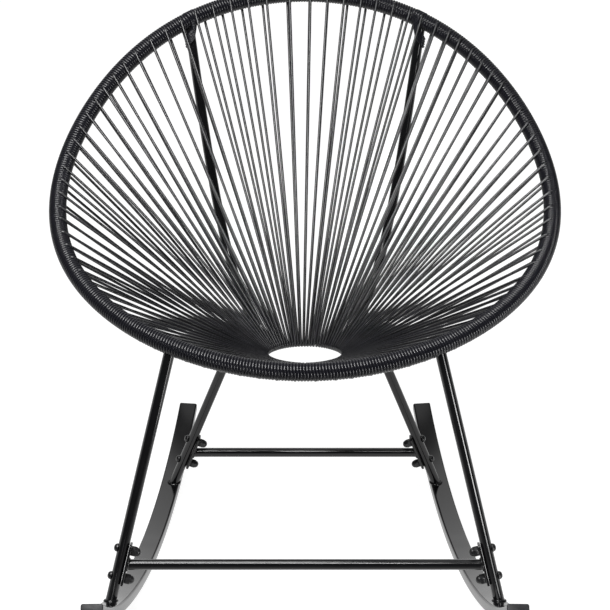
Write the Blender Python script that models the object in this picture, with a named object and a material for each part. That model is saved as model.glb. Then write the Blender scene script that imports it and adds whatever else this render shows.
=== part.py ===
"""String rocking chair: a cord-strung hoop seat carried on two curved rockers.

Metres, +Z up. The chair faces -Y and stands on z = 0, with the origin on the floor
halfway along the rockers. The sitter's left side is +X.
"""

import math

import bpy
import numpy as np
from mathutils import Vector

# Clearance between pieces that touch on the real chair
GAP = 0.0003

# Rockers: flat tube bent to an arc, tighter at the front tip, and closer together at the back
ROCKER_LENGTH = 0.831
ROCKER_RADIUS = 0.991
ROCKER_LOW_Y = 0.0188
ROCKER_TIP_LENGTH = 0.110
ROCKER_TIP_RADIUS = 0.45
ROCKER_FRONT_HALF_SPAN = 0.2815
ROCKER_REAR_HALF_SPAN = 0.2051
ROCKER_WIDTH = 0.030
ROCKER_THICKNESS = 0.016
ROCKER_WALL = 0.0015
ROCKER_EDGE = 0.002
ROCKER_FACET = 0.044

# Plastic caps plugged into the rocker ends
CAP_FLANGE = 0.0025
CAP_PLUG = 0.012
CAP_FIT = 0.0006

# Seat hoop: lip, bend and crown of its side profile as (y, z), and its plan shape
HOOP_LIP = (-0.2865, 0.406)
HOOP_BEND = (0.0655, 0.544)
HOOP_CROWN = (0.3185, 0.826)
HOOP_HALF_WIDTH = 0.3632
HOOP_EGG = -0.020
HOOP_SQUARENESS = -0.0228
HOOP_TUBE_DIAMETER = 0.018
HOOP_TUBE_WALL = 0.0012
HOOP_STATIONS = 64
HOOP_SEAM_SHARE = 0.45
WRAP_CORD_DIAMETER = 0.0038
WRAP_LENGTHS = 6

# Centre ring, tilted with its front edge up
RING_Y = 0.0015
RING_Z = 0.331
RING_RADIUS = 0.0624
RING_ROD_DIAMETER = 0.007
RING_TILT = math.radians(1.0)

# Seat strings: loops from the hoop to the ring and back
STRING_DIAMETER = 0.0035
STRING_LOOPS = 84
STRING_LENGTHS = 12
STRING_SPLICE = 0.0016
HOOP_TURN_STEPS = 5
RING_TURN_STEPS = 4

# Back stays: bent tubes from under the ring to the back of the hoop, with the share of
# the way round the ring and the hoop where they end
STAY_DIAMETER = 0.0150
STAY_WALL = 0.0012
STAY_CLEARANCE = 0.0006
STAY_RING_SHARE = 0.38
STAY_HOOP_SHARE = 0.417
STAY_RING_PULL = (0.075, 0.171, 0.025)
STAY_HOOP_PULL = (-0.042, -0.026, -0.329)
STAY_FOOT_SHARE = 0.17
STAY_STEPS = 14

# Legs: straight tubes standing on the rockers, set back from their ends; a front leg meets
# the hoop a share of the way round it, and a rear leg meets the stay a share of its length up
LEG_DIAMETER = 0.0155
LEG_WALL = 0.0012
FRONT_FOOT_SETBACK = 0.140
FRONT_FOOT_INSET = -0.004
FRONT_LEG_SHARE = 0.0835
REAR_FOOT_SETBACK = 0.203
REAR_FOOT_INSET = 0.0065
REAR_LEG_SHARE = 0.25

# Stretchers and the plates that bolt their ends to the legs
STRETCHER_DIAMETER = 0.015
STRETCHER_WALL = 0.0012
FRONT_PLATE_UP = 0.058
REAR_PLATE_UP = 0.067
PLATE_LENGTH = 0.062
PLATE_WIDTH = 0.018
PLATE_THICKNESS = 0.0035

# Bolts and dome nuts; a bolt head's shape is shares of its radius and height
BOLT_DIAMETER = 0.008
BOLT_SPACING = 0.042
BOLT_HEAD_DIAMETER = 0.012
BOLT_HEAD_HEIGHT = 0.0055
BOLT_HEAD_SHAPE = ((0.55, 1.0), (0.9, 0.6), (1.0, 0.0))
BOLT_HOLE_CLEARANCE = 0.0003
NUT_ACROSS_FLATS = 0.013
NUT_HEIGHT = 0.008
NUT_DOME_DIAMETER = 0.0122
NUT_BORE_DEPTH = 0.0085
NUT_DOME_ANGLES = (0.0, 35.0, 70.0)

SIDES = {"left": 1.0, "right": -1.0}
ROUND_SIDES = 12
STAY_SIDES = 10
HOOP_SIDES = 8
BOLT_SIDES = 10
NUT_SIDES = 12
SHARP_ANGLE = math.radians(40.0)
UP = Vector((0.0, 0.0, 1.0))

# Colours: linear base colour, roughness, metallic
FINISHES = {
    "frame_paint": ((0.012, 0.012, 0.013), 0.22, 0.0),
    "cord": ((0.016, 0.016, 0.018), 0.42, 0.0),
    "end_cap": ((0.045, 0.046, 0.048), 0.50, 0.0),
    "fastener": ((0.020, 0.020, 0.021), 0.35, 1.0),
}


def clear_scene():
    """Remove every object of the starting scene."""
    for obj in list(bpy.data.objects):
        bpy.data.objects.remove(obj, do_unlink=True)


def make_material(finish):
    """One Principled material for a finish."""
    colour, roughness, metallic = FINISHES[finish]
    material = bpy.data.materials.new(finish)
    material.use_nodes = True
    shader = material.node_tree.nodes["Principled BSDF"]
    shader.inputs["Base Color"].default_value = (*colour, 1.0)
    shader.inputs["Roughness"].default_value = roughness
    shader.inputs["Metallic"].default_value = metallic
    return material


def add_object(name, data, finish):
    """Link a mesh or curve as a named object with its own material."""
    obj = bpy.data.objects.new(name, data)
    bpy.context.scene.collection.objects.link(obj)
    data.materials.append(make_material(finish))
    return obj


# Meshes made of rings of points


def mesh_from_rings(name, rings, finish, inner=None):
    """Skin rings of equal length into one closed body, hollow where inner rings are given."""
    sides = len(rings[0])
    loops = list(rings) + (list(reversed(inner)) if inner else [])
    vertices = [point for ring in loops for point in ring]
    faces = []
    spans = len(loops) if inner else len(loops) - 1
    for span in range(spans):
        here = span * sides
        there = ((span + 1) % len(loops)) * sides
        for side in range(sides):
            after = (side + 1) % sides
            faces.append((here + side, here + after, there + after, there + side))
    if not inner:
        faces.append(tuple(reversed(range(sides))))
        faces.append(tuple(range((len(loops) - 1) * sides, len(loops) * sides)))
    mesh = bpy.data.meshes.new(name)
    mesh.from_pydata([tuple(vertex) for vertex in vertices], [], faces)
    if signed_volume(mesh) < 0.0:
        mesh.flip_normals()
    mesh.shade_smooth()
    mesh.set_sharp_from_angle(angle=SHARP_ANGLE)
    return add_object(name, mesh, finish)


def signed_volume(mesh):
    """Volume enclosed by a mesh, negative when its faces point inwards."""
    total = 0.0
    for polygon in mesh.polygons:
        corners = [mesh.vertices[index].co for index in polygon.vertices]
        for second, third in zip(corners[1:], corners[2:]):
            total += corners[0].dot(second.cross(third)) / 6.0
    return total


def circle(centre, across, along, radius, sides):
    """Points of a regular polygon round a centre."""
    points = []
    for side in range(sides):
        angle = 2.0 * math.pi * side / sides
        points.append(centre + radius * (math.cos(angle) * across + math.sin(angle) * along))
    return points


def square_to(direction, hint=UP):
    """Two unit vectors square to a direction, the first nearest to a hint."""
    first = hint - hint.dot(direction) * direction
    first.normalize()
    return first, direction.cross(first)


def onto_plane(ring, direction, point, normal):
    """Slide each point of a ring along a direction until it meets a plane."""
    return [p + direction * ((point - p).dot(normal) / direction.dot(normal)) for p in ring]


def onto_cylinder(ring, direction, centre, axis, radius):
    """Slide each point of a ring along a direction up to the near wall of a cylinder.

    A point that would pass beside the cylinder stops level with its axis.
    """
    flat = direction - direction.dot(axis) * axis
    moved = []
    for point in ring:
        offset = point - centre
        offset = offset - offset.dot(axis) * axis
        half_b = offset.dot(flat)
        reach = half_b ** 2 - flat.dot(flat) * (offset.dot(offset) - radius ** 2)
        moved.append(point + direction * ((-half_b - math.sqrt(max(reach, 0.0))) / flat.dot(flat)))
    return moved


def bend_rings(path, radius, sides, hint):
    """Rings square to a path of points, carried along it without twist."""
    across = hint
    rings = []
    for index, point in enumerate(path):
        before = path[max(index - 1, 0)]
        after = path[min(index + 1, len(path) - 1)]
        direction = (after - before).normalized()
        across, along = square_to(direction, across)
        rings.append(circle(point, across, along, radius, sides))
    return rings


# Seat hoop


def hoop_curve(turn):
    """Point of the hoop's centre line, from the lip at 0 round the +X side to the crown at pi."""
    rise = (1.0 - math.cos(turn)) / 2.0
    weights = ((1.0 - rise) ** 2, 2.0 * rise * (1.0 - rise), rise ** 2)
    profile = (HOOP_LIP, HOOP_BEND, HOOP_CROWN)
    y = sum(weight * point[0] for weight, point in zip(weights, profile))
    z = sum(weight * point[1] for weight, point in zip(weights, profile))
    shape = 1.0 + HOOP_EGG * math.cos(turn) + HOOP_SQUARENESS * math.cos(3.0 * turn)
    return Vector((HOOP_HALF_WIDTH * math.sin(turn) * shape, y, z))


def even_stations():
    """Corner points at equal lengths along the hoop."""
    samples = 50 * HOOP_STATIONS
    points = [hoop_curve(2.0 * math.pi * step / samples) for step in range(samples + 1)]
    steps = [(b - a).length for a, b in zip(points, points[1:])]
    travelled = np.concatenate([[0.0], np.cumsum(steps)])
    wanted = np.linspace(0.0, travelled[-1], HOOP_STATIONS + 1)[:-1]
    columns = [np.interp(wanted, travelled, [point[axis] for point in points]) for axis in range(3)]
    return [Vector(row) for row in zip(*columns)]


STATIONS = even_stations()


def hoop_at(loop):
    """Point of the hoop's centre line a number of loops round from the lip."""
    place = loop * HOOP_STATIONS / STRING_LOOPS
    base = math.floor(place)
    start = STATIONS[base % HOOP_STATIONS]
    end = STATIONS[(base + 1) % HOOP_STATIONS]
    return start.lerp(end, place - base)


def between_strings(share):
    """Whole loop count nearest to a share of the way round; the strings lie halfway between these."""
    return round(share * STRING_LOOPS)


def string_place(number):
    """Loop count of a string, halfway between the places where tubes meet the hoop."""
    return number + 0.5


def ring_axes():
    """The ring's sideways, rearward and upward directions."""
    rearward = Vector((0.0, math.cos(RING_TILT), -math.sin(RING_TILT)))
    upward = Vector((0.0, math.sin(RING_TILT), math.cos(RING_TILT)))
    return Vector((1.0, 0.0, 0.0)), rearward, upward


def ring_at(loop):
    """Point of the ring's centre line and its direction away from the ring's middle."""
    sideways, rearward, _ = ring_axes()
    angle = 2.0 * math.pi * loop / STRING_LOOPS
    outward = math.sin(angle) * sideways - math.cos(angle) * rearward
    return Vector((0.0, RING_Y, RING_Z)) + RING_RADIUS * outward, outward


def hoop_frame(loop):
    """Along the hoop, away from the ring, and square to the seat on the sitter's side."""
    along = (hoop_at(loop + 1.0) - hoop_at(loop - 1.0)).normalized()
    away = hoop_at(loop) - ring_at(loop)[0]
    outward, _ = square_to(along, away)
    return along, outward, outward.cross(along)


def hoop_ring(loop, radius):
    """Ring of points round the hoop's centre line."""
    _, outward, sitter = hoop_frame(loop)
    return circle(hoop_at(loop), outward, sitter, radius, HOOP_SIDES)


HOOP_TUBE_RADIUS = HOOP_TUBE_DIAMETER / 2.0
WRAP_RADIUS = HOOP_TUBE_RADIUS + WRAP_CORD_DIAMETER


def loops_between(start, end, seam):
    """Loop counts of the rings from one cut to the next, each cut back by half a seam."""
    step = STRING_LOOPS / HOOP_STATIONS
    inset = seam / 2.0 * step / (STATIONS[1] - STATIONS[0]).length
    corners = [step * count for count in range(2 * HOOP_STATIONS)]
    middle = [loop for loop in corners if start + 2.0 * inset < loop < end - 2.0 * inset]
    return [start + inset] + middle + [end - inset]


def build_hoop_tube():
    """The bent steel tube under the wrap, butted to itself at its seam."""
    seam = between_strings(HOOP_SEAM_SHARE)
    loops = loops_between(seam, seam + STRING_LOOPS, GAP)
    outer = [hoop_ring(loop, HOOP_TUBE_RADIUS) for loop in loops]
    inner = [hoop_ring(loop, HOOP_TUBE_RADIUS - HOOP_TUBE_WALL) for loop in loops]
    mesh_from_rings("seat_hoop_tube", outer, "frame_paint", inner)


def build_hoop_wraps():
    """Sleeves of wound cord over the hoop tube."""
    span = STRING_LOOPS / WRAP_LENGTHS
    for number in range(WRAP_LENGTHS):
        loops = loops_between(number * span, (number + 1) * span, GAP)
        outer = [hoop_ring(loop, WRAP_RADIUS) for loop in loops]
        inner = [hoop_ring(loop, HOOP_TUBE_RADIUS + GAP) for loop in loops]
        mesh_from_rings(f"hoop_wrap_{number + 1:02d}", outer, "cord", inner)


def build_centre_ring():
    """The rod ring that the strings turn round, butted to itself at its seam."""
    _, _, upward = ring_axes()
    seam = GAP / 2.0 / (2.0 * math.pi * RING_RADIUS) * STRING_LOOPS
    loops = [seam] + list(range(2, STRING_LOOPS, 2)) + [STRING_LOOPS - seam]
    rings = []
    for loop in loops:
        centre, outward = ring_at(loop)
        rings.append(circle(centre, outward, upward, RING_ROD_DIAMETER / 2.0, HOOP_SIDES))
    mesh_from_rings("centre_ring", rings, "frame_paint")


# Seat strings

STRING_RADIUS = STRING_DIAMETER / 2.0


def turn_radius(core, arc, steps):
    """Distance of a turn's corner points from the core's middle, so that its chords stay clear."""
    return (core + GAP + STRING_RADIUS) / math.cos(arc / steps / 2.0)


HOOP_TURN_RADIUS = turn_radius(WRAP_RADIUS, math.pi, HOOP_TURN_STEPS)
RING_TURN_RADIUS = turn_radius(RING_ROD_DIAMETER / 2.0, math.pi, RING_TURN_STEPS)


def hoop_turn(number):
    """Corner points of a string that comes up behind the hoop and leaves on the sitter's side."""
    place = string_place(number)
    _, outward, sitter = hoop_frame(place)
    points = []
    for step in range(HOOP_TURN_STEPS + 1):
        angle = math.pi * (step / HOOP_TURN_STEPS - 0.5)
        offset = math.cos(angle) * outward + math.sin(angle) * sitter
        points.append(hoop_at(place) + HOOP_TURN_RADIUS * offset)
    return points


def ring_turn(number):
    """Corner points of a string that goes over the ring, through its hole and out below the next string."""
    _, _, upward = ring_axes()
    points = []
    for step in range(RING_TURN_STEPS + 1):
        share = step / RING_TURN_STEPS
        place = string_place(number) + share
        centre, outward = ring_at(place)
        leaving = hoop_at(place) - centre
        climb = math.atan2(leaving.dot(upward), leaving.dot(outward))
        angle = climb + math.pi * (0.5 + share)
        offset = math.cos(angle) * outward + math.sin(angle) * upward
        points.append(centre + RING_TURN_RADIUS * offset)
    return points


def string_route(first, last):
    """Corner points of one length of string, from its first loop up to the next length's."""
    points = [ring_turn(first - 1)[-1]]
    for number in range(first, last):
        points += hoop_turn(number)
        points += ring_turn(number)
    start = (points[1] - points[0]).normalized()
    points[0] = points[0] + STRING_SPLICE * start
    return points


def least_string_gap(routes):
    """Smallest clear distance between turns of string, measured on points along them."""
    spacing = STRING_RADIUS
    same_turn = 10.0 * STRING_DIAMETER
    samples = []
    travel = []
    length = 0.0
    for route in routes:
        for start, end in zip(route, route[1:]):
            count = max(1, math.ceil((end - start).length / spacing))
            for step in range(count):
                samples.append(tuple(start.lerp(end, step / count)))
                travel.append(length + (end - start).length * step / count)
            length += (end - start).length
    samples = np.array(samples)
    travel = np.array(travel)
    least = math.inf
    for index in range(0, len(samples), 3):
        others = np.abs(travel - travel[index]) > same_turn
        distances = np.linalg.norm(samples[others] - samples[index], axis=1)
        least = min(least, distances.min())
    return least - STRING_DIAMETER


def build_strings():
    """The seat's strings, each length one unbroken tube."""
    firsts = [number * STRING_LOOPS // STRING_LENGTHS for number in range(STRING_LENGTHS + 1)]
    routes = [string_route(first, last) for first, last in zip(firsts, firsts[1:])]
    for number, route in enumerate(routes):
        name = f"seat_strings_{number + 1:02d}"
        curve = bpy.data.curves.new(name, "CURVE")
        curve.dimensions = "3D"
        curve.bevel_depth = STRING_RADIUS
        curve.bevel_resolution = 0
        curve.use_fill_caps = True
        spline = curve.splines.new("POLY")
        spline.points.add(len(route) - 1)
        for point, place in zip(spline.points, route):
            point.co = (*place, 1.0)
        add_object(name, curve, "cord")
    print(f"least gap between turns of string: {1000.0 * least_string_gap(routes[:2]):.2f} mm")


# Rockers


ROCKER_TIP_Y = ROCKER_TIP_LENGTH - ROCKER_LENGTH / 2.0
ROCKER_TIP_ANGLE = math.asin((ROCKER_TIP_Y - ROCKER_LOW_Y) / ROCKER_RADIUS)


def rocker_angle(y):
    """Arc angle of the rocker at a place along the chair."""
    if y >= ROCKER_TIP_Y:
        return math.asin((y - ROCKER_LOW_Y) / ROCKER_RADIUS)
    return math.asin(math.sin(ROCKER_TIP_ANGLE) + (y - ROCKER_TIP_Y) / ROCKER_TIP_RADIUS)


def rocker_angles():
    """Arc angles of the rocker's corners, with one flat facet centred on its lowest point."""
    front = rocker_angle(-ROCKER_LENGTH / 2.0)
    rear = rocker_angle(ROCKER_LENGTH / 2.0)
    step = ROCKER_FACET / ROCKER_RADIUS
    ahead = [(k + 0.5) * step for k in range(int(-front / step))]
    behind = [(k + 0.5) * step for k in range(int(rear / step))]
    return [front] + [-angle for angle in reversed(ahead)] + behind + [rear]


def rocker_half_span(y):
    """Distance of the rocker's centre line from the chair's middle."""
    share = y / ROCKER_LENGTH + 0.5
    return ROCKER_FRONT_HALF_SPAN + share * (ROCKER_REAR_HALF_SPAN - ROCKER_FRONT_HALF_SPAN)


def rocker_point(side, angle, up=0.0, forward=0.0):
    """Point over the rocker's underside at an arc angle, moved along its end direction."""
    flat_level = math.cos(ROCKER_FACET / ROCKER_RADIUS / 2.0)
    main = max(angle, ROCKER_TIP_ANGLE)
    y = ROCKER_LOW_Y + ROCKER_RADIUS * math.sin(main)
    y += ROCKER_TIP_RADIUS * (math.sin(angle) - math.sin(main))
    z = ROCKER_RADIUS * (flat_level - math.cos(main))
    z += ROCKER_TIP_RADIUS * (math.cos(main) - math.cos(angle))
    point = Vector((side * rocker_half_span(y), y, z))
    return point + up * rocker_normal(angle) + forward * rocker_heading(side, angle)


def rocker_normal(angle):
    """Direction out of the rocker's upper face."""
    return Vector((0.0, -math.sin(angle), math.cos(angle)))


def rocker_heading(side, angle):
    """Direction along the rocker, towards the back."""
    drift = side * (ROCKER_REAR_HALF_SPAN - ROCKER_FRONT_HALF_SPAN) / ROCKER_LENGTH
    heading = Vector((drift * math.cos(angle), math.cos(angle), math.sin(angle)))
    return heading.normalized()


def rocker_section(side, angle, inset, forward=0.0):
    """Section outline of the rocker with cut corners, drawn in by an inset."""
    lateral = rocker_heading(side, angle).cross(rocker_normal(angle)).normalized()
    half = ROCKER_WIDTH / 2.0 - inset
    low = inset
    high = ROCKER_THICKNESS - inset
    cut = max(ROCKER_EDGE - inset, ROCKER_EDGE / 4.0)
    outline = [
        (half - cut, low), (half, low + cut), (half, high - cut), (half - cut, high),
        (cut - half, high), (-half, high - cut), (-half, low + cut), (cut - half, low),
    ]
    return [rocker_point(side, angle, up, forward) + across * lateral for across, up in outline]


def build_rocker(label, side):
    """One rocker, open at both ends."""
    angles = rocker_angles()
    outer = [rocker_section(side, angle, 0.0) for angle in angles]
    inner = [rocker_section(side, angle, ROCKER_WALL) for angle in angles]
    mesh_from_rings(f"rocker_{label}", outer, "frame_paint", inner)


def build_rocker_cap(label, side, end):
    """A plastic cap: a flange over the rocker's end and a plug inside it."""
    angles = rocker_angles()
    angle = angles[0] if end == "front" else angles[-1]
    outwards = -1.0 if end == "front" else 1.0
    plug_inset = ROCKER_WALL + CAP_FIT
    rings = [
        rocker_section(side, angle, 0.0, outwards * (GAP + CAP_FLANGE)),
        rocker_section(side, angle, 0.0, outwards * GAP),
        rocker_section(side, angle, plug_inset, outwards * GAP),
        rocker_section(side, angle, plug_inset, -outwards * CAP_PLUG),
    ]
    mesh_from_rings(f"rocker_cap_{end}_{label}", rings, "end_cap")


# Legs, stays and stretchers

LEG_RADIUS = LEG_DIAMETER / 2.0
STAY_RADIUS = STAY_DIAMETER / 2.0
STRETCHER_RADIUS = STRETCHER_DIAMETER / 2.0
PLATE_BACK = LEG_RADIUS + GAP
PLATE_FACE = PLATE_BACK + PLATE_THICKNESS


def stay_curve(side, share):
    """Point of the line that a back stay follows, from under the ring to the hoop."""
    _, _, upward = ring_axes()
    under = RING_TURN_RADIUS + STRING_RADIUS + STAY_CLEARANCE + STAY_RADIUS
    ring_end = ring_at(side * between_strings(STAY_RING_SHARE))[0] - under * upward
    hoop_end = hoop_at(side * between_strings(STAY_HOOP_SHARE))
    mirror = Vector((side, 1.0, 1.0))
    ring_pull = ring_end + Vector(STAY_RING_PULL) * mirror
    hoop_pull = hoop_end + Vector(STAY_HOOP_PULL) * mirror
    rest = 1.0 - share
    return (rest ** 3 * ring_end + 3.0 * rest ** 2 * share * ring_pull
            + 3.0 * rest * share ** 2 * hoop_pull + share ** 3 * hoop_end)


def build_back_stay(label, side):
    """A bent tube behind the back strings, from just below its rear leg up to the wrapped hoop."""
    shares = np.linspace(STAY_FOOT_SHARE, 1.0, STAY_STEPS, endpoint=False)
    path = [stay_curve(side, share) for share in shares.tolist()]
    outer = bend_rings(path, STAY_RADIUS, STAY_SIDES, UP)
    inner = bend_rings(path, STAY_RADIUS - STAY_WALL, STAY_SIDES, UP)
    loop = side * between_strings(STAY_HOOP_SHARE)
    hoop_end = hoop_at(loop)
    along, _, _ = hoop_frame(loop)
    direction = (hoop_end - path[-1]).normalized()
    seat = WRAP_RADIUS + GAP
    outer.append(onto_cylinder(outer[-1], direction, hoop_end, along, seat))
    inner.append(onto_cylinder(inner[-1], direction, hoop_end, along, seat))
    mesh_from_rings(f"back_stay_{label}", outer, "frame_paint", inner)


class Leg:
    """A straight leg: its foot on the rocker, its top against a round tube, and its bolt direction."""

    def __init__(self, side, foot_y, inset, top, top_axis, top_radius, plate_up):
        self.side = side
        self.rocker_angle = rocker_angle(foot_y)
        foot = rocker_point(side, self.rocker_angle, ROCKER_THICKNESS + GAP)
        self.foot = foot - Vector((side * inset, 0.0, 0.0))
        self.top = top
        self.top_axis = top_axis
        self.top_radius = top_radius
        self.direction = (top - self.foot).normalized()
        inward = Vector((-side, 0.0, 0.0))
        self.inward, self.sideways = square_to(self.direction, inward)
        self.plate_centre = self.foot + plate_up * self.direction

    def bolt_centres(self):
        """Points of the leg's centre line that its two bolts pass through."""
        half = BOLT_SPACING / 2.0 * self.direction
        return [self.plate_centre - half, self.plate_centre + half]

    def rings(self, radius):
        """Foot ring cut to the rocker and top ring shaped to the tube above."""
        flat = circle(self.foot, self.inward, self.sideways, radius, ROUND_SIDES)
        foot = onto_plane(flat, self.direction, self.foot, rocker_normal(self.rocker_angle))
        top = onto_cylinder(flat, self.direction, self.top, self.top_axis, self.top_radius)
        return [foot, top]


def front_leg(side):
    """A front leg, from its rocker up to the underside of the wrapped hoop."""
    loop = side * between_strings(FRONT_LEG_SHARE)
    along, _, _ = hoop_frame(loop)
    seat = WRAP_RADIUS + GAP
    foot_y = FRONT_FOOT_SETBACK - ROCKER_LENGTH / 2.0
    return Leg(side, foot_y, FRONT_FOOT_INSET, hoop_at(loop), along, seat, FRONT_PLATE_UP)


def rear_leg(side):
    """A rear leg, from its rocker up to the back stay."""
    step = 0.5 / STAY_STEPS
    top = stay_curve(side, REAR_LEG_SHARE)
    along = stay_curve(side, REAR_LEG_SHARE + step) - stay_curve(side, REAR_LEG_SHARE - step)
    seat = STAY_RADIUS + GAP
    foot_y = ROCKER_LENGTH / 2.0 - REAR_FOOT_SETBACK
    return Leg(side, foot_y, REAR_FOOT_INSET, top, along.normalized(), seat, REAR_PLATE_UP)


def round_cutter(name, centre, direction, radius, length):
    """A hidden cylinder that cuts a bolt hole."""
    across, along = square_to(direction)
    half = length / 2.0 * direction
    rings = [circle(centre - half, across, along, radius, BOLT_SIDES),
             circle(centre + half, across, along, radius, BOLT_SIDES)]
    cutter = mesh_from_rings(name, rings, "frame_paint")
    cutter.hide_render = True
    cutter.display_type = "WIRE"
    return cutter


def drill(obj, leg):
    """Cut both of a leg's bolt holes through an object."""
    radius = BOLT_DIAMETER / 2.0 + BOLT_HOLE_CLEARANCE
    length = 2.0 * (LEG_DIAMETER + PLATE_THICKNESS)
    for number, centre in enumerate(leg.bolt_centres()):
        name = f"{obj.name}_hole_{number + 1}"
        cutter = round_cutter(name, centre, leg.inward, radius, length)
        modifier = obj.modifiers.new(name, "BOOLEAN")
        modifier.operation = "DIFFERENCE"
        modifier.object = cutter


def build_leg(name, leg):
    """A leg tube with its two bolt holes."""
    tube = mesh_from_rings(name, leg.rings(LEG_RADIUS), "frame_paint", leg.rings(LEG_RADIUS - LEG_WALL))
    drill(tube, leg)


def build_plate(name, leg):
    """A flat plate along the leg's inner side, drilled for the bolts."""
    half_length = PLATE_LENGTH / 2.0 * leg.direction
    half_width = PLATE_WIDTH / 2.0 * leg.sideways
    rings = []
    for depth in (PLATE_BACK, PLATE_FACE):
        middle = leg.plate_centre + depth * leg.inward
        rings.append([middle - half_length - half_width, middle + half_length - half_width,
                      middle + half_length + half_width, middle - half_length + half_width])
    plate = mesh_from_rings(name, rings, "frame_paint")
    bevel = plate.modifiers.new("eased_corners", "BEVEL")
    bevel.width = PLATE_THICKNESS / 4.0
    bevel.limit_method = "ANGLE"
    drill(plate, leg)


def build_stretcher(name, legs):
    """A cross tube welded between the plates of two legs."""
    left, right = legs
    across = Vector((1.0, 0.0, 0.0))
    end = left.plate_centre + PLATE_FACE * left.inward
    centre = Vector((0.0, end.y, end.z))

    def cut_rings(radius):
        rings = []
        for leg in (left, right):
            flat = circle(centre, UP, Vector((0.0, 1.0, 0.0)), radius, ROUND_SIDES)
            face = leg.plate_centre + (PLATE_FACE + GAP) * leg.inward
            rings.append(onto_plane(flat, across, face, leg.inward))
        return rings

    inner = cut_rings(STRETCHER_RADIUS - STRETCHER_WALL)
    mesh_from_rings(name, cut_rings(STRETCHER_RADIUS), "frame_paint", inner)


# Bolts and nuts


def build_bolt(name, leg, centre):
    """A round-headed bolt from the leg's outer side to a gap short of its nut's blind end."""
    seat = -(LEG_RADIUS + GAP)
    head = BOLT_HEAD_DIAMETER / 2.0
    shank = BOLT_DIAMETER / 2.0
    profile = [(head * wide, seat - BOLT_HEAD_HEIGHT * high) for wide, high in BOLT_HEAD_SHAPE]
    profile += [(shank, seat), (shank, PLATE_FACE + NUT_BORE_DEPTH)]
    rings = [circle(centre + depth * leg.inward, leg.direction, leg.sideways, radius, BOLT_SIDES)
             for radius, depth in profile]
    mesh_from_rings(name, rings, "fastener")


def hexagon(centre, leg):
    """Points of a hexagon's outline: its corners and the middles of its sides."""
    flat = NUT_ACROSS_FLATS / 2.0
    points = []
    for side in range(NUT_SIDES):
        angle = 2.0 * math.pi * side / NUT_SIDES
        reach = flat if side % 2 else flat / math.cos(math.pi / 6.0)
        points.append(centre + reach * (math.cos(angle) * leg.direction + math.sin(angle) * leg.sideways))
    return points


def build_nut(name, leg, centre):
    """A dome nut on the plate's inner face, with its blind bore."""
    seat = PLATE_FACE + GAP
    bore = BOLT_DIAMETER / 2.0 + BOLT_HOLE_CLEARANCE
    dome = NUT_DOME_DIAMETER / 2.0

    def round_ring(radius, depth):
        return circle(centre + depth * leg.inward, leg.direction, leg.sideways, radius, NUT_SIDES)

    rings = [
        round_ring(bore, seat + NUT_BORE_DEPTH),
        round_ring(bore, seat),
        hexagon(centre + seat * leg.inward, leg),
        hexagon(centre + (seat + NUT_HEIGHT) * leg.inward, leg),
    ]
    for lift in map(math.radians, NUT_DOME_ANGLES):
        rings.append(round_ring(dome * math.cos(lift), seat + NUT_HEIGHT + dome * math.sin(lift)))
    mesh_from_rings(name, rings, "fastener")


def build_fasteners(place, label, leg):
    """Two bolts and two nuts at one stretcher end."""
    for level, centre in zip(("lower", "upper"), leg.bolt_centres()):
        build_bolt(f"bolt_{place}_{label}_{level}", leg, centre)
        build_nut(f"dome_nut_{place}_{label}_{level}", leg, centre)


def build_chair():
    """Every piece of the chair."""
    clear_scene()
    build_hoop_tube()
    build_hoop_wraps()
    build_centre_ring()
    build_strings()
    for label, side in SIDES.items():
        build_rocker(label, side)
        build_rocker_cap(label, side, "front")
        build_rocker_cap(label, side, "rear")
        build_back_stay(label, side)
    for place, make_leg in (("front", front_leg), ("rear", rear_leg)):
        legs = {label: make_leg(side) for label, side in SIDES.items()}
        for label, leg in legs.items():
            build_leg(f"{place}_leg_{label}", leg)
            build_plate(f"stretcher_plate_{place}_{label}", leg)
            build_fasteners(place, label, leg)
        build_stretcher(f"{place}_stretcher", legs.values())


build_chair()
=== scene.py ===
# %% [markdown]
# # String rocking chair
#
# The real chair is a steel hoop wound with plastic cord. Straight cords run from the hoop to a small ring
# and make the seat, and tube legs carry the hoop on two curved rockers. This lesson dresses the packed
# CAD part: the pieces below follow the same lines as the solids, and add the fine shapes that the solids
# leave out. First comes the frame.

# %% Load the imported frame
import math

import bpy
import numpy as np
from mathutils import Matrix, Vector


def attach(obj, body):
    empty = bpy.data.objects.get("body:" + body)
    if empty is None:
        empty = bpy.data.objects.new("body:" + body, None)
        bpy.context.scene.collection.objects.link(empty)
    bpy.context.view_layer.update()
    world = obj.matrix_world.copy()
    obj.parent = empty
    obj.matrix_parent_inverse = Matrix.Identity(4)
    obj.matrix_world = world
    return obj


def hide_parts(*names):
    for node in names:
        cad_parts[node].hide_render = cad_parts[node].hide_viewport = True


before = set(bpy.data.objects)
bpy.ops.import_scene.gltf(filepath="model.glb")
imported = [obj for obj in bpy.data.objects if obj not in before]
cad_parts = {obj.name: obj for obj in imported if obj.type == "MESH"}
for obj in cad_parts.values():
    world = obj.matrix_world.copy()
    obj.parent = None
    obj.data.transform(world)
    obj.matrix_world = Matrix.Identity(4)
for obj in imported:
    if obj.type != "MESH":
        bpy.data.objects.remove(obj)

scene = bpy.context.scene
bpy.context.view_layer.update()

# %% [markdown]
# ## Camera
#
# The photograph was taken from straight in front, a little above the seat, with a long lens. The place
# and the pitch were fitted to the rockers, the legs and the hoop. A longer lens further away would
# flatten the bowl, and a shorter one would splay the rockers, so the lens is part of the likeness.

# %% Camera at the photograph's angle
CAMERA_PLACE = (0.0, -2.5745, 1.226)
CAMERA_PITCH = math.radians(17.6)
CAMERA_LENS = 107.1
CAMERA_SENSOR = 36.0

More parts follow.
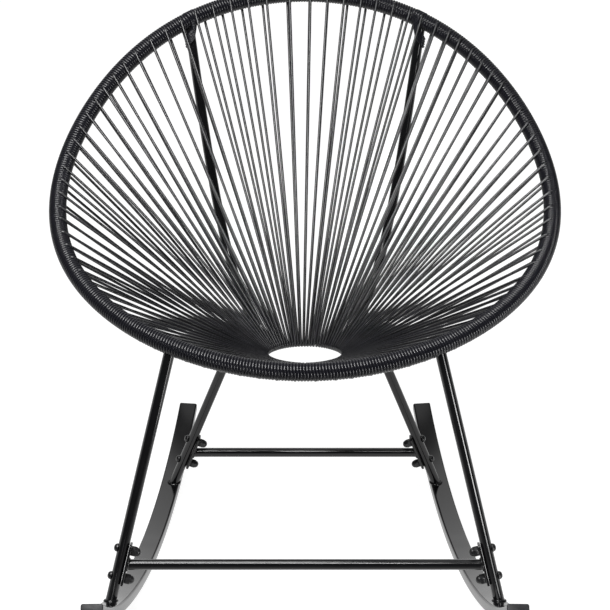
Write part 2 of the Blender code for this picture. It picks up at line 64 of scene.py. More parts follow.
camera_data = bpy.data.cameras.new("front_camera")
camera_data.lens = CAMERA_LENS
camera_data.sensor_width = CAMERA_SENSOR
camera = bpy.data.objects.new("front_camera", camera_data)
camera.location = CAMERA_PLACE
camera.rotation_euler = (math.pi / 2.0 - CAMERA_PITCH, 0.0, 0.0)
scene.collection.objects.link(camera)
scene.camera = camera
print("camera at", CAMERA_PLACE)

# %% [markdown]
# ## Helpers for node trees
#
# Both the finishes and the repeated shapes are node trees, which get long when every link is written out.
# Small helpers keep them readable: one adds a node, one feeds a socket with a link or a plain value, two
# write a sum as a single line, and one makes a smooth ramp along a coordinate.


# %% Node helpers
def add_node(tree, kind, **settings):
    """A new node with its properties set."""
    made = tree.nodes.new(kind)
    for key, value in settings.items():
        setattr(made, key, value)
    return made


def feed(tree, socket, value):
    """Link a socket to another one, or give it a plain value."""
    if isinstance(value, bpy.types.NodeSocket):
        tree.links.new(value, socket)
    else:
        socket.default_value = value


def maths(tree, operation, *values):
    """The result of one scalar sum."""
    made = add_node(tree, "ShaderNodeMath", operation=operation)
    for socket, value in zip(made.inputs, values):
        feed(tree, socket, value)
    return made.outputs[0]


def vectors(tree, operation, first, second):
    """The result of one vector sum; SCALE takes a number as its second value."""
    made = add_node(tree, "ShaderNodeVectorMath", operation=operation)
    feed(tree, made.inputs[0], first)
    feed(tree, made.inputs["Scale"] if operation == "SCALE" else made.inputs[1], second)
    return made.outputs["Value"] if operation == "DOT_PRODUCT" else made.outputs["Vector"]


def ramp(tree, value, start, end, low, high):
    """A smooth change from one value to another along a coordinate."""
    made = add_node(tree, "ShaderNodeMapRange", interpolation_type="SMOOTHSTEP")
    feed(tree, made.inputs["Value"], value)
    for label, number in (("From Min", start), ("From Max", end), ("To Min", low), ("To Max", high)):
        made.inputs[label].default_value = number
    return made.outputs["Result"]


print("node helpers:", [helper.__name__ for helper in (add_node, feed, maths, vectors, ramp)])


# %% [markdown]
# ## Finishes
#
# The whole chair is black, so the finishes differ in how they shine. The tubes are powder coated: a hard
# gloss with a very fine orange-peel ripple. The cord is extruded plastic, softer in its shine, and every
# strand has a slightly different tone. The caps are matt moulded plastic and the bolts are blackened
# steel. Image textures could do this, but they need an unwrapped surface, so one shared group of noise
# gives each finish its fine grain, its slow patches and a few specks of dust, with that finish's own
# sizes.


# %% Shared grain group
GRAIN_DETAIL = 3.0
PATCH_DETAIL = 4.0
SPECK_DETAIL = 2.0
SPECK_LEVEL = 0.66
SPECK_GAIN = 6.0


def grain_group():
    """Shader group: a fine grain height, slow patches and specks of dust, from a coordinate."""
    group = bpy.data.node_groups.new("surface_grain", "ShaderNodeTree")
    for label, kind in (("Vector", "NodeSocketVector"), ("Grains per metre", "NodeSocketFloat"),
                        ("Patches per metre", "NodeSocketFloat"), ("Specks per metre", "NodeSocketFloat")):
        group.interface.new_socket(label, in_out="INPUT", socket_type=kind)
    for label in ("Height", "Patches", "Specks"):
        group.interface.new_socket(label, in_out="OUTPUT", socket_type="NodeSocketFloat")
    source = add_node(group, "NodeGroupInput").outputs
    result = add_node(group, "NodeGroupOutput").inputs

    def noise(scale, detail):
        made = add_node(group, "ShaderNodeTexNoise")
        feed(group, made.inputs["Vector"], source["Vector"])
        feed(group, made.inputs["Scale"], scale)
        made.inputs["Detail"].default_value = detail
        return made.outputs[0]

    feed(group, result["Height"], noise(source["Grains per metre"], GRAIN_DETAIL))
    feed(group, result["Patches"], noise(source["Patches per metre"], PATCH_DETAIL))
    spots = noise(source["Specks per metre"], SPECK_DETAIL)
    specks = maths(group, "MAXIMUM", maths(group, "SUBTRACT", spots, SPECK_LEVEL), 0.0)
    feed(group, result["Specks"], maths(group, "MULTIPLY", specks, SPECK_GAIN))
    return group


GRAIN = grain_group()
print("shared groups:", GRAIN.name)


# %% Finish recipe
SPECKS_PER_PATCH = 9.0
TONE_SHARE = 0.8
DUST_COLOUR = (0.20, 0.195, 0.185, 1.0)
PATCH_RANGE = (0.3, 0.7)


def make_finish(name, dark, light, rough, grains, patches, depth, specular=0.5, tone=None, dust=0.0):
    """A Principled finish whose colour, roughness and ripple come from the grain group."""
    material = bpy.data.materials.new(name)
    material.use_nodes = True
    tree = material.node_tree
    shader = tree.nodes["Principled BSDF"]
    place = add_node(tree, "ShaderNodeTexCoord").outputs["Object"]
    grain = add_node(tree, "ShaderNodeGroup", node_tree=GRAIN)
    feed(tree, grain.inputs["Vector"], place)
    grain.inputs["Grains per metre"].default_value = grains
    grain.inputs["Patches per metre"].default_value = patches
    grain.inputs["Specks per metre"].default_value = SPECKS_PER_PATCH * patches
    share = grain.outputs["Patches"]
    if tone:
        mark = add_node(tree, "ShaderNodeAttribute", attribute_name=tone)
        rest = maths(tree, "MULTIPLY", share, 1.0 - TONE_SHARE)
        share = maths(tree, "MULTIPLY_ADD", mark.outputs["Fac"], TONE_SHARE, rest)
    colour = add_node(tree, "ShaderNodeMix", data_type="RGBA")
    feed(tree, colour.inputs["Factor"], share)
    colour.inputs["A"].default_value = (*dark, 1.0)
    colour.inputs["B"].default_value = (*light, 1.0)
    dusty = add_node(tree, "ShaderNodeMix", data_type="RGBA")
    feed(tree, dusty.inputs["Factor"], maths(tree, "MULTIPLY", grain.outputs["Specks"], dust))
    feed(tree, dusty.inputs["A"], colour.outputs["Result"])
    dusty.inputs["B"].default_value = DUST_COLOUR
    feed(tree, shader.inputs["Base Color"], dusty.outputs["Result"])
    spread = add_node(tree, "ShaderNodeMapRange")
    feed(tree, spread.inputs["Value"], grain.outputs["Patches"])
    limits = (*PATCH_RANGE, *rough)
    for label, number in zip(("From Min", "From Max", "To Min", "To Max"), limits):
        spread.inputs[label].default_value = number
    feed(tree, shader.inputs["Roughness"], spread.outputs["Result"])
    bump = add_node(tree, "ShaderNodeBump")
    bump.inputs["Strength"].default_value = 1.0
    bump.inputs["Distance"].default_value = depth
    feed(tree, bump.inputs["Height"], grain.outputs["Height"])
    feed(tree, shader.inputs["Normal"], bump.outputs["Normal"])
    shader.inputs["Specular IOR Level"].default_value = specular
    return material


# %% The chair's finishes
POWDER_COAT = make_finish(
    "gloss_black_powder_coat", dark=(0.004, 0.004, 0.0045), light=(0.010, 0.010, 0.011),
    rough=(0.10, 0.15), grains=900.0, patches=22.0, depth=0.000004, dust=0.05)
CORD_PLASTIC = make_finish(
    "satin_black_cord", dark=(0.0012, 0.0012, 0.0018), light=(0.015, 0.015, 0.0185),
    rough=(0.28, 0.36), grains=2600.0, patches=60.0, depth=0.000004, specular=0.8,
    tone="strand_tone", dust=0.03)
WOUND_CORD = make_finish(
    "gloss_black_cord", dark=(0.007, 0.007, 0.010), light=(0.013, 0.013, 0.017),
    rough=(0.20, 0.28), grains=2600.0, patches=60.0, depth=0.000003, dust=0.05)
CAP_PLASTIC = make_finish(
    "grey_cap_plastic", dark=(0.022, 0.022, 0.024), light=(0.034, 0.034, 0.036),
    rough=(0.42, 0.55), grains=2200.0, patches=90.0, depth=0.00002, specular=0.3, dust=0.04)
BLACK_STEEL = make_finish(
    "blackened_steel", dark=(0.008, 0.008, 0.009), light=(0.020, 0.020, 0.021),
    rough=(0.22, 0.36), grains=1800.0, patches=140.0, depth=0.000008, dust=0.05)
finishes = (POWDER_COAT, CORD_PLASTIC, WOUND_CORD, CAP_PLASTIC, BLACK_STEEL)
print("finishes:", [finish.name for finish in finishes])

# %% [markdown]
# ## The chair's measures
#
# The pieces below are finer than the solids, but they follow the same lines: the hoop's centre line, the
# ring, the rockers' arc and the stays' bends. The hoop is a closed curve whose side profile is a
# quadratic bend from the front lip to the crown. Distances along it are counted in loops of string, from
# the lip round the sitter's left side.

# %% Measures of the seat
HOOP_LIP = (-0.2865, 0.406)
HOOP_BEND = (0.0655, 0.544)
HOOP_CROWN = (0.3185, 0.826)
HOOP_HALF_WIDTH = 0.3632
HOOP_EGG = -0.020
HOOP_SQUARENESS = -0.0228
HOOP_TUBE_RADIUS = 0.009
HOOP_SAMPLES = 6001
RING_CENTRE = Vector((0.0, 0.0015, 0.331))
RING_RADIUS = 0.0624
RING_ROD_DIAMETER = 0.007
RING_TILT = math.radians(1.0)
STRING_LOOPS = 84
STAY_HOOP_LOOP = 35.0
FRONT_LEG_LOOP = 7.0
STRING_DIAMETER = 0.0041
X_AXIS = Vector((1.0, 0.0, 0.0))
Y_AXIS = Vector((0.0, 1.0, 0.0))
UP = Vector((0.0, 0.0, 1.0))

hoop_turns = np.linspace(0.0, 2.0 * math.pi, HOOP_SAMPLES)
hoop_rise = (1.0 - np.cos(hoop_turns)) / 2.0
hoop_shape = 1.0 + HOOP_EGG * np.cos(hoop_turns) + HOOP_SQUARENESS * np.cos(3.0 * hoop_turns)
hoop_line = np.zeros((len(hoop_turns), 3))
hoop_line[:, 0] = HOOP_HALF_WIDTH * np.sin(hoop_turns) * hoop_shape
for axis in (0, 1):
    hoop_line[:, axis + 1] = ((1.0 - hoop_rise) ** 2 * HOOP_LIP[axis] + hoop_rise ** 2 * HOOP_CROWN[axis]
                              + 2.0 * hoop_rise * (1.0 - hoop_rise) * HOOP_BEND[axis])
hoop_travel = np.concatenate([[0.0], np.cumsum(np.linalg.norm(np.diff(hoop_line, axis=0), axis=1))])
HOOP_LENGTH = hoop_travel[-1]
LOOP_PITCH = HOOP_LENGTH / STRING_LOOPS
print(f"hoop {HOOP_LENGTH:.3f} m round, a loop of string every {1000.0 * LOOP_PITCH:.1f} mm")


# %% Places on the hoop and the ring
LOOP_NUDGE = 0.1


def hoop_at(loop):
    """Point of the hoop's centre line a number of loops round from the lip."""
    travel = (loop / STRING_LOOPS) % 1.0 * HOOP_LENGTH
    return Vector([np.interp(travel, hoop_travel, hoop_line[:, axis]) for axis in range(3)])


RING_REARWARD = Vector((0.0, math.cos(RING_TILT), -math.sin(RING_TILT)))
RING_UPWARD = Vector((0.0, math.sin(RING_TILT), math.cos(RING_TILT)))


def ring_at(loop):
    """Point of the ring's centre line and its direction away from the ring's middle."""
    angle = 2.0 * math.pi * loop / STRING_LOOPS
    outward = math.sin(angle) * X_AXIS - math.cos(angle) * RING_REARWARD
    return RING_CENTRE + RING_RADIUS * outward, outward


def hoop_frame(loop):
    """Along the hoop, away from the ring, and square to the seat on the sitter's side."""
    along = (hoop_at(loop + LOOP_NUDGE) - hoop_at(loop - LOOP_NUDGE)).normalized()
    away = hoop_at(loop) - RING_CENTRE
    outward = (away - away.dot(along) * along).normalized()
    return along, outward, outward.cross(along)


print("crown of the hoop at", tuple(hoop_at(STRING_LOOPS / 2)))


# %% [markdown]
# ## Growing shapes on paths
#
# Most of the chair is round stock on a path: cord, rod and tube. A Geometry Nodes tree sweeps a circle
# along every path of a mesh made of edges, so one tree serves the strings, the ring, the stays and the
# stretchers. The result is turned into a plain mesh at once, because the exported part keeps meshes and
# not trees.


# %% Shape trees
def shape_tree(name, sizes):
    """An empty shape tree with named inputs, and its input and output sockets."""
    tree = bpy.data.node_groups.new(name, "GeometryNodeTree")
    tree.interface.new_socket("Path", in_out="INPUT", socket_type="NodeSocketGeometry")
    for label, kind in sizes:
        tree.interface.new_socket(label, in_out="INPUT", socket_type="NodeSocket" + kind)
    tree.interface.new_socket("Material", in_out="INPUT", socket_type="NodeSocketMaterial")
    tree.interface.new_socket("Shape", in_out="OUTPUT", socket_type="NodeSocketGeometry")
    source = add_node(tree, "NodeGroupInput").outputs
    return tree, source, add_node(tree, "NodeGroupOutput").inputs["Shape"]


def end_tree(tree, shape, source, result):
    """Close a shape tree: real geometry, smooth faces and a material."""
    real = add_node(tree, "GeometryNodeRealizeInstances")
    smooth = add_node(tree, "GeometryNodeSetShadeSmooth")
    paint = add_node(tree, "GeometryNodeSetMaterial")
    feed(tree, real.inputs["Geometry"], shape)
    feed(tree, smooth.inputs["Geometry"], real.outputs["Geometry"])
    feed(tree, paint.inputs["Geometry"], smooth.outputs["Geometry"])
    feed(tree, paint.inputs["Material"], source["Material"])
    feed(tree, result, paint.outputs["Geometry"])


def sweep_circle(tree, curve, diameter, sides):
    """A round section swept along a curve, with its ends closed."""
    section = add_node(tree, "GeometryNodeCurvePrimitiveCircle", mode="RADIUS")
    feed(tree, section.inputs["Resolution"], sides)
    feed(tree, section.inputs["Radius"], maths(tree, "MULTIPLY", diameter, 0.5))
    tube = add_node(tree, "GeometryNodeCurveToMesh")
    feed(tree, tube.inputs["Curve"], curve)
    feed(tree, tube.inputs["Profile Curve"], section.outputs["Curve"])
    tube.inputs["Fill Caps"].default_value = True
    return tube.outputs["Mesh"]


def round_stock_tree():
    """Round stock along every path of an edge mesh."""
    tree, source, result = shape_tree("round_stock", (("Diameter", "Float"), ("Sides", "Int")))
    curve = add_node(tree, "GeometryNodeMeshToCurve")
    feed(tree, curve.inputs["Mesh"], source["Path"])
    tube = sweep_circle(tree, curve.outputs["Curve"], source["Diameter"], source["Sides"])
    end_tree(tree, tube, source, result)
    return tree


ROUND_STOCK = round_stock_tree()
print("tree:", ROUND_STOCK.name)


# %% From paths to pieces
EDGE_ANGLE = math.radians(40.0)
# The golden share keeps the tones of neighbouring strands well apart.
TONE_STEP = 0.618034


def path_mesh(name, paths, closed=False):
    """A mesh of edges along the paths, with a steady tone for each path."""
    points = [tuple(point) for path in paths for point in path]
    edges = []
    tones = []
    first = 0
    for number, path in enumerate(paths):
        edges += [(first + step, first + step + 1) for step in range(len(path) - 1)]
        if closed:
            edges.append((first + len(path) - 1, first))
        tones += [(number * TONE_STEP) % 1.0] * len(path)
        first += len(path)
    mesh = bpy.data.meshes.new(name)
    mesh.from_pydata(points, edges, [])
    mesh.attributes.new("strand_tone", "FLOAT", "POINT").data.foreach_set("value", tones)
    return mesh


def grow(name, mesh, tree, sizes):
    """An object whose plain mesh is what a shape tree makes of a path mesh."""
    piece = bpy.data.objects.new(name, mesh)
    scene.collection.objects.link(piece)
    modifier = piece.modifiers.new("shape", "NODES")
    modifier.node_group = tree
    for item in tree.interface.items_tree:
        if item.item_type == "SOCKET" and item.in_out == "INPUT" and item.name in sizes:
            modifier[item.identifier] = sizes[item.name]
    graph = bpy.context.evaluated_depsgraph_get()
    made = bpy.data.meshes.new_from_object(piece.evaluated_get(graph), preserve_all_data_layers=True,
                                           depsgraph=graph)
    piece.modifiers.clear()
    piece.data = made
    made.set_sharp_from_angle(angle=EDGE_ANGLE)
    bpy.data.meshes.remove(mesh)
    return piece


def settle(piece, slot, *nodes):
    """Let a finished piece ride on the chair and stand for its CAD nodes."""
    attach(piece, "root")
    if nodes:
        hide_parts(*nodes)
    return piece


def triangles(objects):
    """Triangles in the meshes of some objects."""
    return sum(len(polygon.vertices) - 2 for piece in objects for polygon in piece.data.polygons)


print("piece helpers:", [helper.__name__ for helper in (path_mesh, grow, settle, triangles)])


# %% [markdown]
# ## The hoop's winding
#
# The hoop tube is wound all round with cord, several turns for each loop of string. A bump map would lose
# the beaded edge that shows against the white wall, so the winding is a real helix. Its tree carries each
# point of the hoop's line out to the cord's radius and turns it as it goes. The cord is a little thicker
# than the spacing of its turns, because real turns are pressed against their neighbours.

# %% Winding tree
WRAP_THICKNESS = 0.0039
WRAP_CORD_DIAMETER = 0.0046
WRAP_RADIUS = HOOP_TUBE_RADIUS + WRAP_THICKNESS - WRAP_CORD_DIAMETER / 2.0
TURNS_PER_LOOP = 6.5
TURN_STEPS = 26
START_TURN = 0.5
WRAP_SIDES = 12
WRAP_LENGTHS = 6


def winding_tree():
    """Cord wound in a helix round a path."""
    tree, source, result = shape_tree("cord_winding", (
        ("Cord Diameter", "Float"), ("Winding Radius", "Float"), ("Turns", "Float"), ("Points", "Int"),
        ("Seat Centre", "Vector")))
    curve = add_node(tree, "GeometryNodeMeshToCurve")
    feed(tree, curve.inputs["Mesh"], source["Path"])
    even = add_node(tree, "GeometryNodeResampleCurve")
    feed(tree, even.inputs["Curve"], curve.outputs["Curve"])
    feed(tree, even.inputs["Count"], source["Points"])
    factor = add_node(tree, "GeometryNodeSplineParameter").outputs["Factor"]
    turn = maths(tree, "MULTIPLY", factor, source["Turns"])
    angle = maths(tree, "MULTIPLY", maths(tree, "ADD", turn, START_TURN), 2.0 * math.pi)

    along = add_node(tree, "GeometryNodeInputTangent").outputs["Tangent"]
    place = add_node(tree, "GeometryNodeInputPosition").outputs["Position"]
    away = vectors(tree, "SUBTRACT", place, source["Seat Centre"])
    lean = vectors(tree, "SCALE", along, vectors(tree, "DOT_PRODUCT", away, along))
    square = vectors(tree, "SUBTRACT", away, lean)
    outward = add_node(tree, "ShaderNodeVectorMath", operation="NORMALIZE")
    feed(tree, outward.inputs[0], square)
    outward = outward.outputs["Vector"]
    sitter = vectors(tree, "CROSS_PRODUCT", outward, along)

    out_reach = maths(tree, "MULTIPLY", maths(tree, "SINE", angle), source["Winding Radius"])
    face_reach = maths(tree, "MULTIPLY", maths(tree, "COSINE", angle), source["Winding Radius"])
    out = vectors(tree, "SCALE", outward, out_reach)
    face = vectors(tree, "SCALE", sitter, face_reach)
    offset = vectors(tree, "ADD", out, face)
    coil = add_node(tree, "GeometryNodeSetPosition")
    feed(tree, coil.inputs["Geometry"], even.outputs["Curve"])
    feed(tree, coil.inputs["Offset"], offset)
    steady = add_node(tree, "GeometryNodeSetCurveNormal", mode="FREE")
    feed(tree, steady.inputs["Curve"], coil.outputs["Geometry"])
    feed(tree, steady.inputs["Normal"], offset)
    cord = sweep_circle(tree, steady.outputs["Curve"], source["Cord Diameter"], WRAP_SIDES)
    end_tree(tree, cord, source, result)
    return tree


CORD_WINDING = winding_tree()
print("tree:", CORD_WINDING.name)

# %% Wind the hoop
PATH_STEPS_PER_LOOP = 12
wrap_loops = STRING_LOOPS // WRAP_LENGTHS
wrap_turns = round(wrap_loops * TURNS_PER_LOOP)
windings = []
for number in range(WRAP_LENGTHS):
    steps = range(wrap_loops * PATH_STEPS_PER_LOOP + 1)
    line = [hoop_at(number * wrap_loops + step / PATH_STEPS_PER_LOOP) for step in steps]
    winding = grow(f"hoop_winding_{number + 1:02d}", path_mesh("hoop_line", [line]), CORD_WINDING, {
        "Cord Diameter": WRAP_CORD_DIAMETER, "Winding Radius": WRAP_RADIUS, "Turns": float(wrap_turns),
        "Points": wrap_turns * TURN_STEPS + 1,
        "Seat Centre": RING_CENTRE, "Material": WOUND_CORD})
    windings.append(settle(winding, "cord", f"hoop_wrap_{number + 1:02d}"))
print(f"{WRAP_LENGTHS * wrap_turns} turns of cord, {triangles(windings)} triangles")

# %% [markdown]
# ## The seat strings
#
# A string comes out of the winding on the sitter's side of the hoop, runs straight to the ring, goes over
# it and through its hole, and runs back underneath to the rear side of the hoop, one loop further round.
# The front and back strands make two layers with the ring between them. Cords slide along a hoop, and the
# two layers don't slide alike, so two short lists say by how many steps each has crept, and a small
# chance wander is added. Near the lip the front strands leave from deeper in the winding, because their
# ends would show there. Each route is a list of points: tucked under the winding, straight, round the
# ring's rod, straight, and tucked again. A curve object could carry the cord, but the tree for round
# stock already does.

# %% Measures of the strings
RING_CLEARANCE = 0.0002
RING_TURN_RADIUS = RING_ROD_DIAMETER / 2.0 + STRING_DIAMETER / 2.0 + RING_CLEARANCE
RING_TURN_STEPS = 10
TUCK_ANGLE = math.radians(40.0)
TUCK_STEPS = 6
TUCK_SINK = 0.0050
# How deep the strings lie in the winding where they leave it, in front by loop number.
BED_LOOPS = (12, 18, 66, 72)
FRONT_BED = (0.0030, 0.0002, 0.0002, 0.0030)
BACK_BED = 0.0016
RING_WANDER = 0.08
HOOP_WANDER = 0.07
# Loop number and the steps of creep there.
FRONT_CREEP = {0: 0.2, 8: 0.1, 14: -0.7, 20: -0.2, 30: -0.1, 37: -0.8, 42: -0.8, 44: -0.3,
               47: 0.0, 50: 0.1, 52: 0.4, 62: 0.4, 65: 0.2, 70: 0.2, 75: 0.3, 84: 0.2}
BACK_CREEP = {0: 0.0, 5: -0.4, 10: -0.9, 14: -1.2, 18: -0.8, 24: -0.5, 30: -0.7, 36: -1.4, 42: -0.8,
              44: 0.0, 48: 0.7, 52: 1.2, 54: 0.9, 62: 1.0, 66: 0.8, 71: 0.9, 74: 0.8, 84: 0.0}
TUBE_ROOM = 0.45
TUBE_LOOPS = (FRONT_LEG_LOOP, STAY_HOOP_LOOP,
              STRING_LOOPS - STAY_HOOP_LOOP, STRING_LOOPS - FRONT_LEG_LOOP)
WANDER_SEED = 84
chance = np.random.default_rng(WANDER_SEED)
wander = chance.uniform(-RING_WANDER, RING_WANDER, STRING_LOOPS)
front_wander = chance.uniform(-HOOP_WANDER, HOOP_WANDER, STRING_LOOPS)
back_wander = chance.uniform(-HOOP_WANDER, HOOP_WANDER, STRING_LOOPS)
print(f"strings turn round the ring's rod at {1000.0 * RING_TURN_RADIUS:.2f} mm from its middle")


# %% String routes
def tuck(loop, face_angle, sign, bed, towards):
    """Points of a string that dives under the winding, from inside it to where it leaves for the ring."""
    along, outward, sitter = hoop_frame(loop)
    centre = hoop_at(loop)
    rest_radius = HOOP_TUBE_RADIUS + WRAP_THICKNESS - bed
    leave = centre + rest_radius * math.cos(face_angle) * sitter
    course = (towards - leave).normalized()
    drift = course.dot(along) / course.dot(outward)
    points = []
    for step in range(TUCK_STEPS, -1, -1):
        turn = TUCK_ANGLE * step / TUCK_STEPS
        angle = face_angle + sign * turn
        radius = rest_radius - TUCK_SINK * (step / TUCK_STEPS) ** 2
        offset = math.cos(angle) * sitter + math.sin(angle) * outward
        points.append(centre + radius * offset + drift * WRAP_RADIUS * math.sin(turn) * along)
    return points


def ring_turn(loop):
    """Points of a string that goes over the ring, through its hole and out underneath."""
    points = []
    start = loop + 0.5 + wander[loop % STRING_LOOPS]
    end = loop + 1.5 + wander[(loop + 1) % STRING_LOOPS]
    for step in range(RING_TURN_STEPS + 1):
        share = step / RING_TURN_STEPS
        place = start + (end - start) * share
        centre, outward = ring_at(place)
        leaving = hoop_at(place) - centre
        climb = math.atan2(leaving.dot(RING_UPWARD), leaving.dot(outward))
        angle = climb + math.pi * (0.5 + share)
        offset = math.cos(angle) * outward + math.sin(angle) * RING_UPWARD
        points.append(centre + RING_TURN_RADIUS * offset)
    return points


def creep(places, number):
    """Steps by which a strand has crept along the hoop, between the places that are listed."""
    return float(np.interp(number, list(places), list(places.values())))


def front_place(loop):
    """Loop count at which a string leaves the sitter's side of the hoop."""
    number = loop % STRING_LOOPS
    return loop + 0.5 + creep(FRONT_CREEP, number) + front_wander[number]


def back_place(loop):
    """Loop count at which a string comes back to the rear side of the hoop, clear of the tubes."""
    number = loop % STRING_LOOPS
    place = loop + 0.5 + creep(BACK_CREEP, number) + back_wander[number]
    for tube in TUBE_LOOPS:
        if abs(place - tube) < TUBE_ROOM:
            place = tube + math.copysign(TUBE_ROOM, place - tube)
    return place


def string_route(loop):
    """All points of one loop of string."""
    middle = ring_turn(loop)
    front_bed = float(np.interp(loop, BED_LOOPS, FRONT_BED))
    front = tuck(front_place(loop), 0.0, 1.0, front_bed, middle[0])
    back = tuck(back_place(loop + 1), math.pi, -1.0, BACK_BED, middle[-1])
    return front + middle + list(reversed(back))


def route_length(route):
    """Length of a string along its points."""
    return sum((after - before).length for before, after in zip(route, route[1:]))


print(f"first loop of string {route_length(string_route(0)):.3f} m")


# %% String the seat
STRING_LENGTHS = 12
STRING_SIDES = 10
loops_each = STRING_LOOPS // STRING_LENGTHS
strings = []
string_metres = 0.0
for number in range(STRING_LENGTHS):
    routes = [string_route(number * loops_each + loop) for loop in range(loops_each)]
    string_metres += sum(route_length(route) for route in routes)
    string = grow(f"seat_cords_{number + 1:02d}", path_mesh("string_routes", routes), ROUND_STOCK, {
        "Diameter": STRING_DIAMETER, "Sides": STRING_SIDES, "Material": CORD_PLASTIC})
    strings.append(settle(string, "cord", f"seat_strings_{number + 1:02d}"))
print(f"{STRING_LOOPS} loops of string, {string_metres:.1f} m, {triangles(strings)} triangles")

# %% [markdown]
# ## The centre ring
#
# The strings turn round a small ring of steel rod, which hangs in them and touches nothing else. A torus
# would do, but it would need its tilt and its place set once more. The ring's own line is already there,
# so the tree for round stock follows that.

# %% Ring rod
RING_STEPS = 120
RING_SIDES = 16
ring_line = [ring_at(STRING_LOOPS * step / RING_STEPS)[0] for step in range(RING_STEPS)]
ring_rod = grow("ring_rod", path_mesh("ring_line", [ring_line], closed=True), ROUND_STOCK, {
    "Diameter": RING_ROD_DIAMETER, "Sides": RING_SIDES, "Material": POWDER_COAT})
settle(ring_rod, "frame_paint", "centre_ring")
print("ring rod:", triangles([ring_rod]), "triangles")

# %% [markdown]
# ## Rockers
#
# Each rocker is a flat steel tube bent to an arc, with a tighter bend at its front tip, and the pair
# stands closer together at the back. Its upper face mirrors the white room at a low angle, so even small
# facets would show as bands. The section is therefore a rectangle with round corners, carried along the
# arc in many short steps, with moulded caps on both ends. An array of short boxes would be quicker, but
# its joints would show.

# %% Measures of the rockers
ROCKER_LENGTH = 0.831
ROCKER_RADIUS = 0.991
ROCKER_LOW_Y = 0.0188
ROCKER_TIP_Y = -0.3055
ROCKER_TIP_RADIUS = 0.45
ROCKER_FRONT_HALF_SPAN = 0.2815
ROCKER_REAR_HALF_SPAN = 0.2051
ROCKER_WIDTH = 0.030
ROCKER_THICKNESS = 0.016
ROCKER_CORNER = 0.003
ROCKER_FLAT = 0.044
CAP_FLANGE = 0.0028
SIDES = {"left": 1.0, "right": -1.0}


def rocker_half_span(y):
    """Distance of the rocker's centre line from the chair's middle."""
    share = y / ROCKER_LENGTH + 0.5
    return ROCKER_FRONT_HALF_SPAN + share * (ROCKER_REAR_HALF_SPAN - ROCKER_FRONT_HALF_SPAN)


ROCKER_TIP_ANGLE = math.asin((ROCKER_TIP_Y - ROCKER_LOW_Y) / ROCKER_RADIUS)


def rocker_angle(y):
    """Arc angle of the rocker at a place along the chair."""
    if y >= ROCKER_TIP_Y:
        return math.asin((y - ROCKER_LOW_Y) / ROCKER_RADIUS)
    return math.asin(math.sin(ROCKER_TIP_ANGLE) + (y - ROCKER_TIP_Y) / ROCKER_TIP_RADIUS)


def rocker_normal(angle):
    """Direction out of the rocker's upper face."""
    return Vector((0.0, -math.sin(angle), math.cos(angle)))


def rocker_heading(side, angle):
    """Direction along the rocker, towards the back."""
    drift = side * (ROCKER_REAR_HALF_SPAN - ROCKER_FRONT_HALF_SPAN) / ROCKER_LENGTH
    return Vector((drift * math.cos(angle), math.cos(angle), math.sin(angle))).normalized()


def rocker_point(side, angle, up=0.0, forward=0.0):
    """Point over the rocker's underside at an arc angle; the lowest stretch is flat on the floor."""
    flat_level = math.cos(ROCKER_FLAT / ROCKER_RADIUS / 2.0)
    main = max(angle, ROCKER_TIP_ANGLE)
    main_reach = ROCKER_RADIUS * math.sin(main)
    tip_reach = ROCKER_TIP_RADIUS * (math.sin(angle) - math.sin(main))
    main_rise = ROCKER_RADIUS * (flat_level - math.cos(main))
    tip_rise = ROCKER_TIP_RADIUS * (math.cos(main) - math.cos(angle))
    y = ROCKER_LOW_Y + main_reach + tip_reach
    z = max(main_rise + tip_rise, 0.0)
    point = Vector((side * rocker_half_span(y), y, z))
    return point + up * rocker_normal(angle) + forward * rocker_heading(side, angle)


print("lowest point of the left rocker:", tuple(rocker_point(SIDES["left"], 0.0)))


# %% Sections and skins
def round_rectangle(width, height, corner, steps=6):
    """Outline of a rectangle with round corners, about its middle."""
    outline = []
    for number, (right, top) in enumerate(((1, 1), (-1, 1), (-1, -1), (1, -1))):
        for step in range(steps + 1):
            angle = math.pi / 2.0 * (number + step / steps)
            outline.append((right * (width / 2.0 - corner) + corner * math.cos(angle),
                            top * (height / 2.0 - corner) + corner * math.sin(angle)))
    return outline


def skin(name, rings, material):
    """A closed mesh skinned over rings of points, with both ends closed."""
    count = len(rings[0])
    faces = [tuple(reversed(range(count))), tuple(range((len(rings) - 1) * count, len(rings) * count))]
    for ring in range(len(rings) - 1):
        for side in range(count):
            after = (side + 1) % count
            faces.append((ring * count + side, ring * count + after,
                          (ring + 1) * count + after, (ring + 1) * count + side))
    mesh = bpy.data.meshes.new(name)
    mesh.from_pydata([tuple(point) for ring in rings for point in ring], [], faces)
    volume = 0.0
    for polygon in mesh.polygons:
        corners = [mesh.vertices[index].co for index in polygon.vertices]
        pairs = zip(corners[1:], corners[2:])
        volume += sum(corners[0].dot(second.cross(third)) for second, third in pairs)
    if volume < 0.0:
        mesh.flip_normals()
    mesh.shade_smooth()
    mesh.set_sharp_from_angle(angle=EDGE_ANGLE)
    mesh.materials.append(material)
    piece = bpy.data.objects.new(name, mesh)
    scene.collection.objects.link(piece)
    return piece


print("points in a rocker's section:", len(round_rectangle(ROCKER_WIDTH, ROCKER_THICKNESS, ROCKER_CORNER)))


# %% Bend the rockers
ROCKER_STEPS = 110
# Each ring of a cap: how far it is drawn in, and how far it stands out of the rocker's end.
CAP_PROFILE = ((0.0009, -0.002), (0.0, 0.0003), (0.0, 0.0018), (0.0003, 0.0024), (0.0010, CAP_FLANGE))
rocker_front = rocker_angle(-ROCKER_LENGTH / 2.0)
rocker_rear = rocker_angle(ROCKER_LENGTH / 2.0)


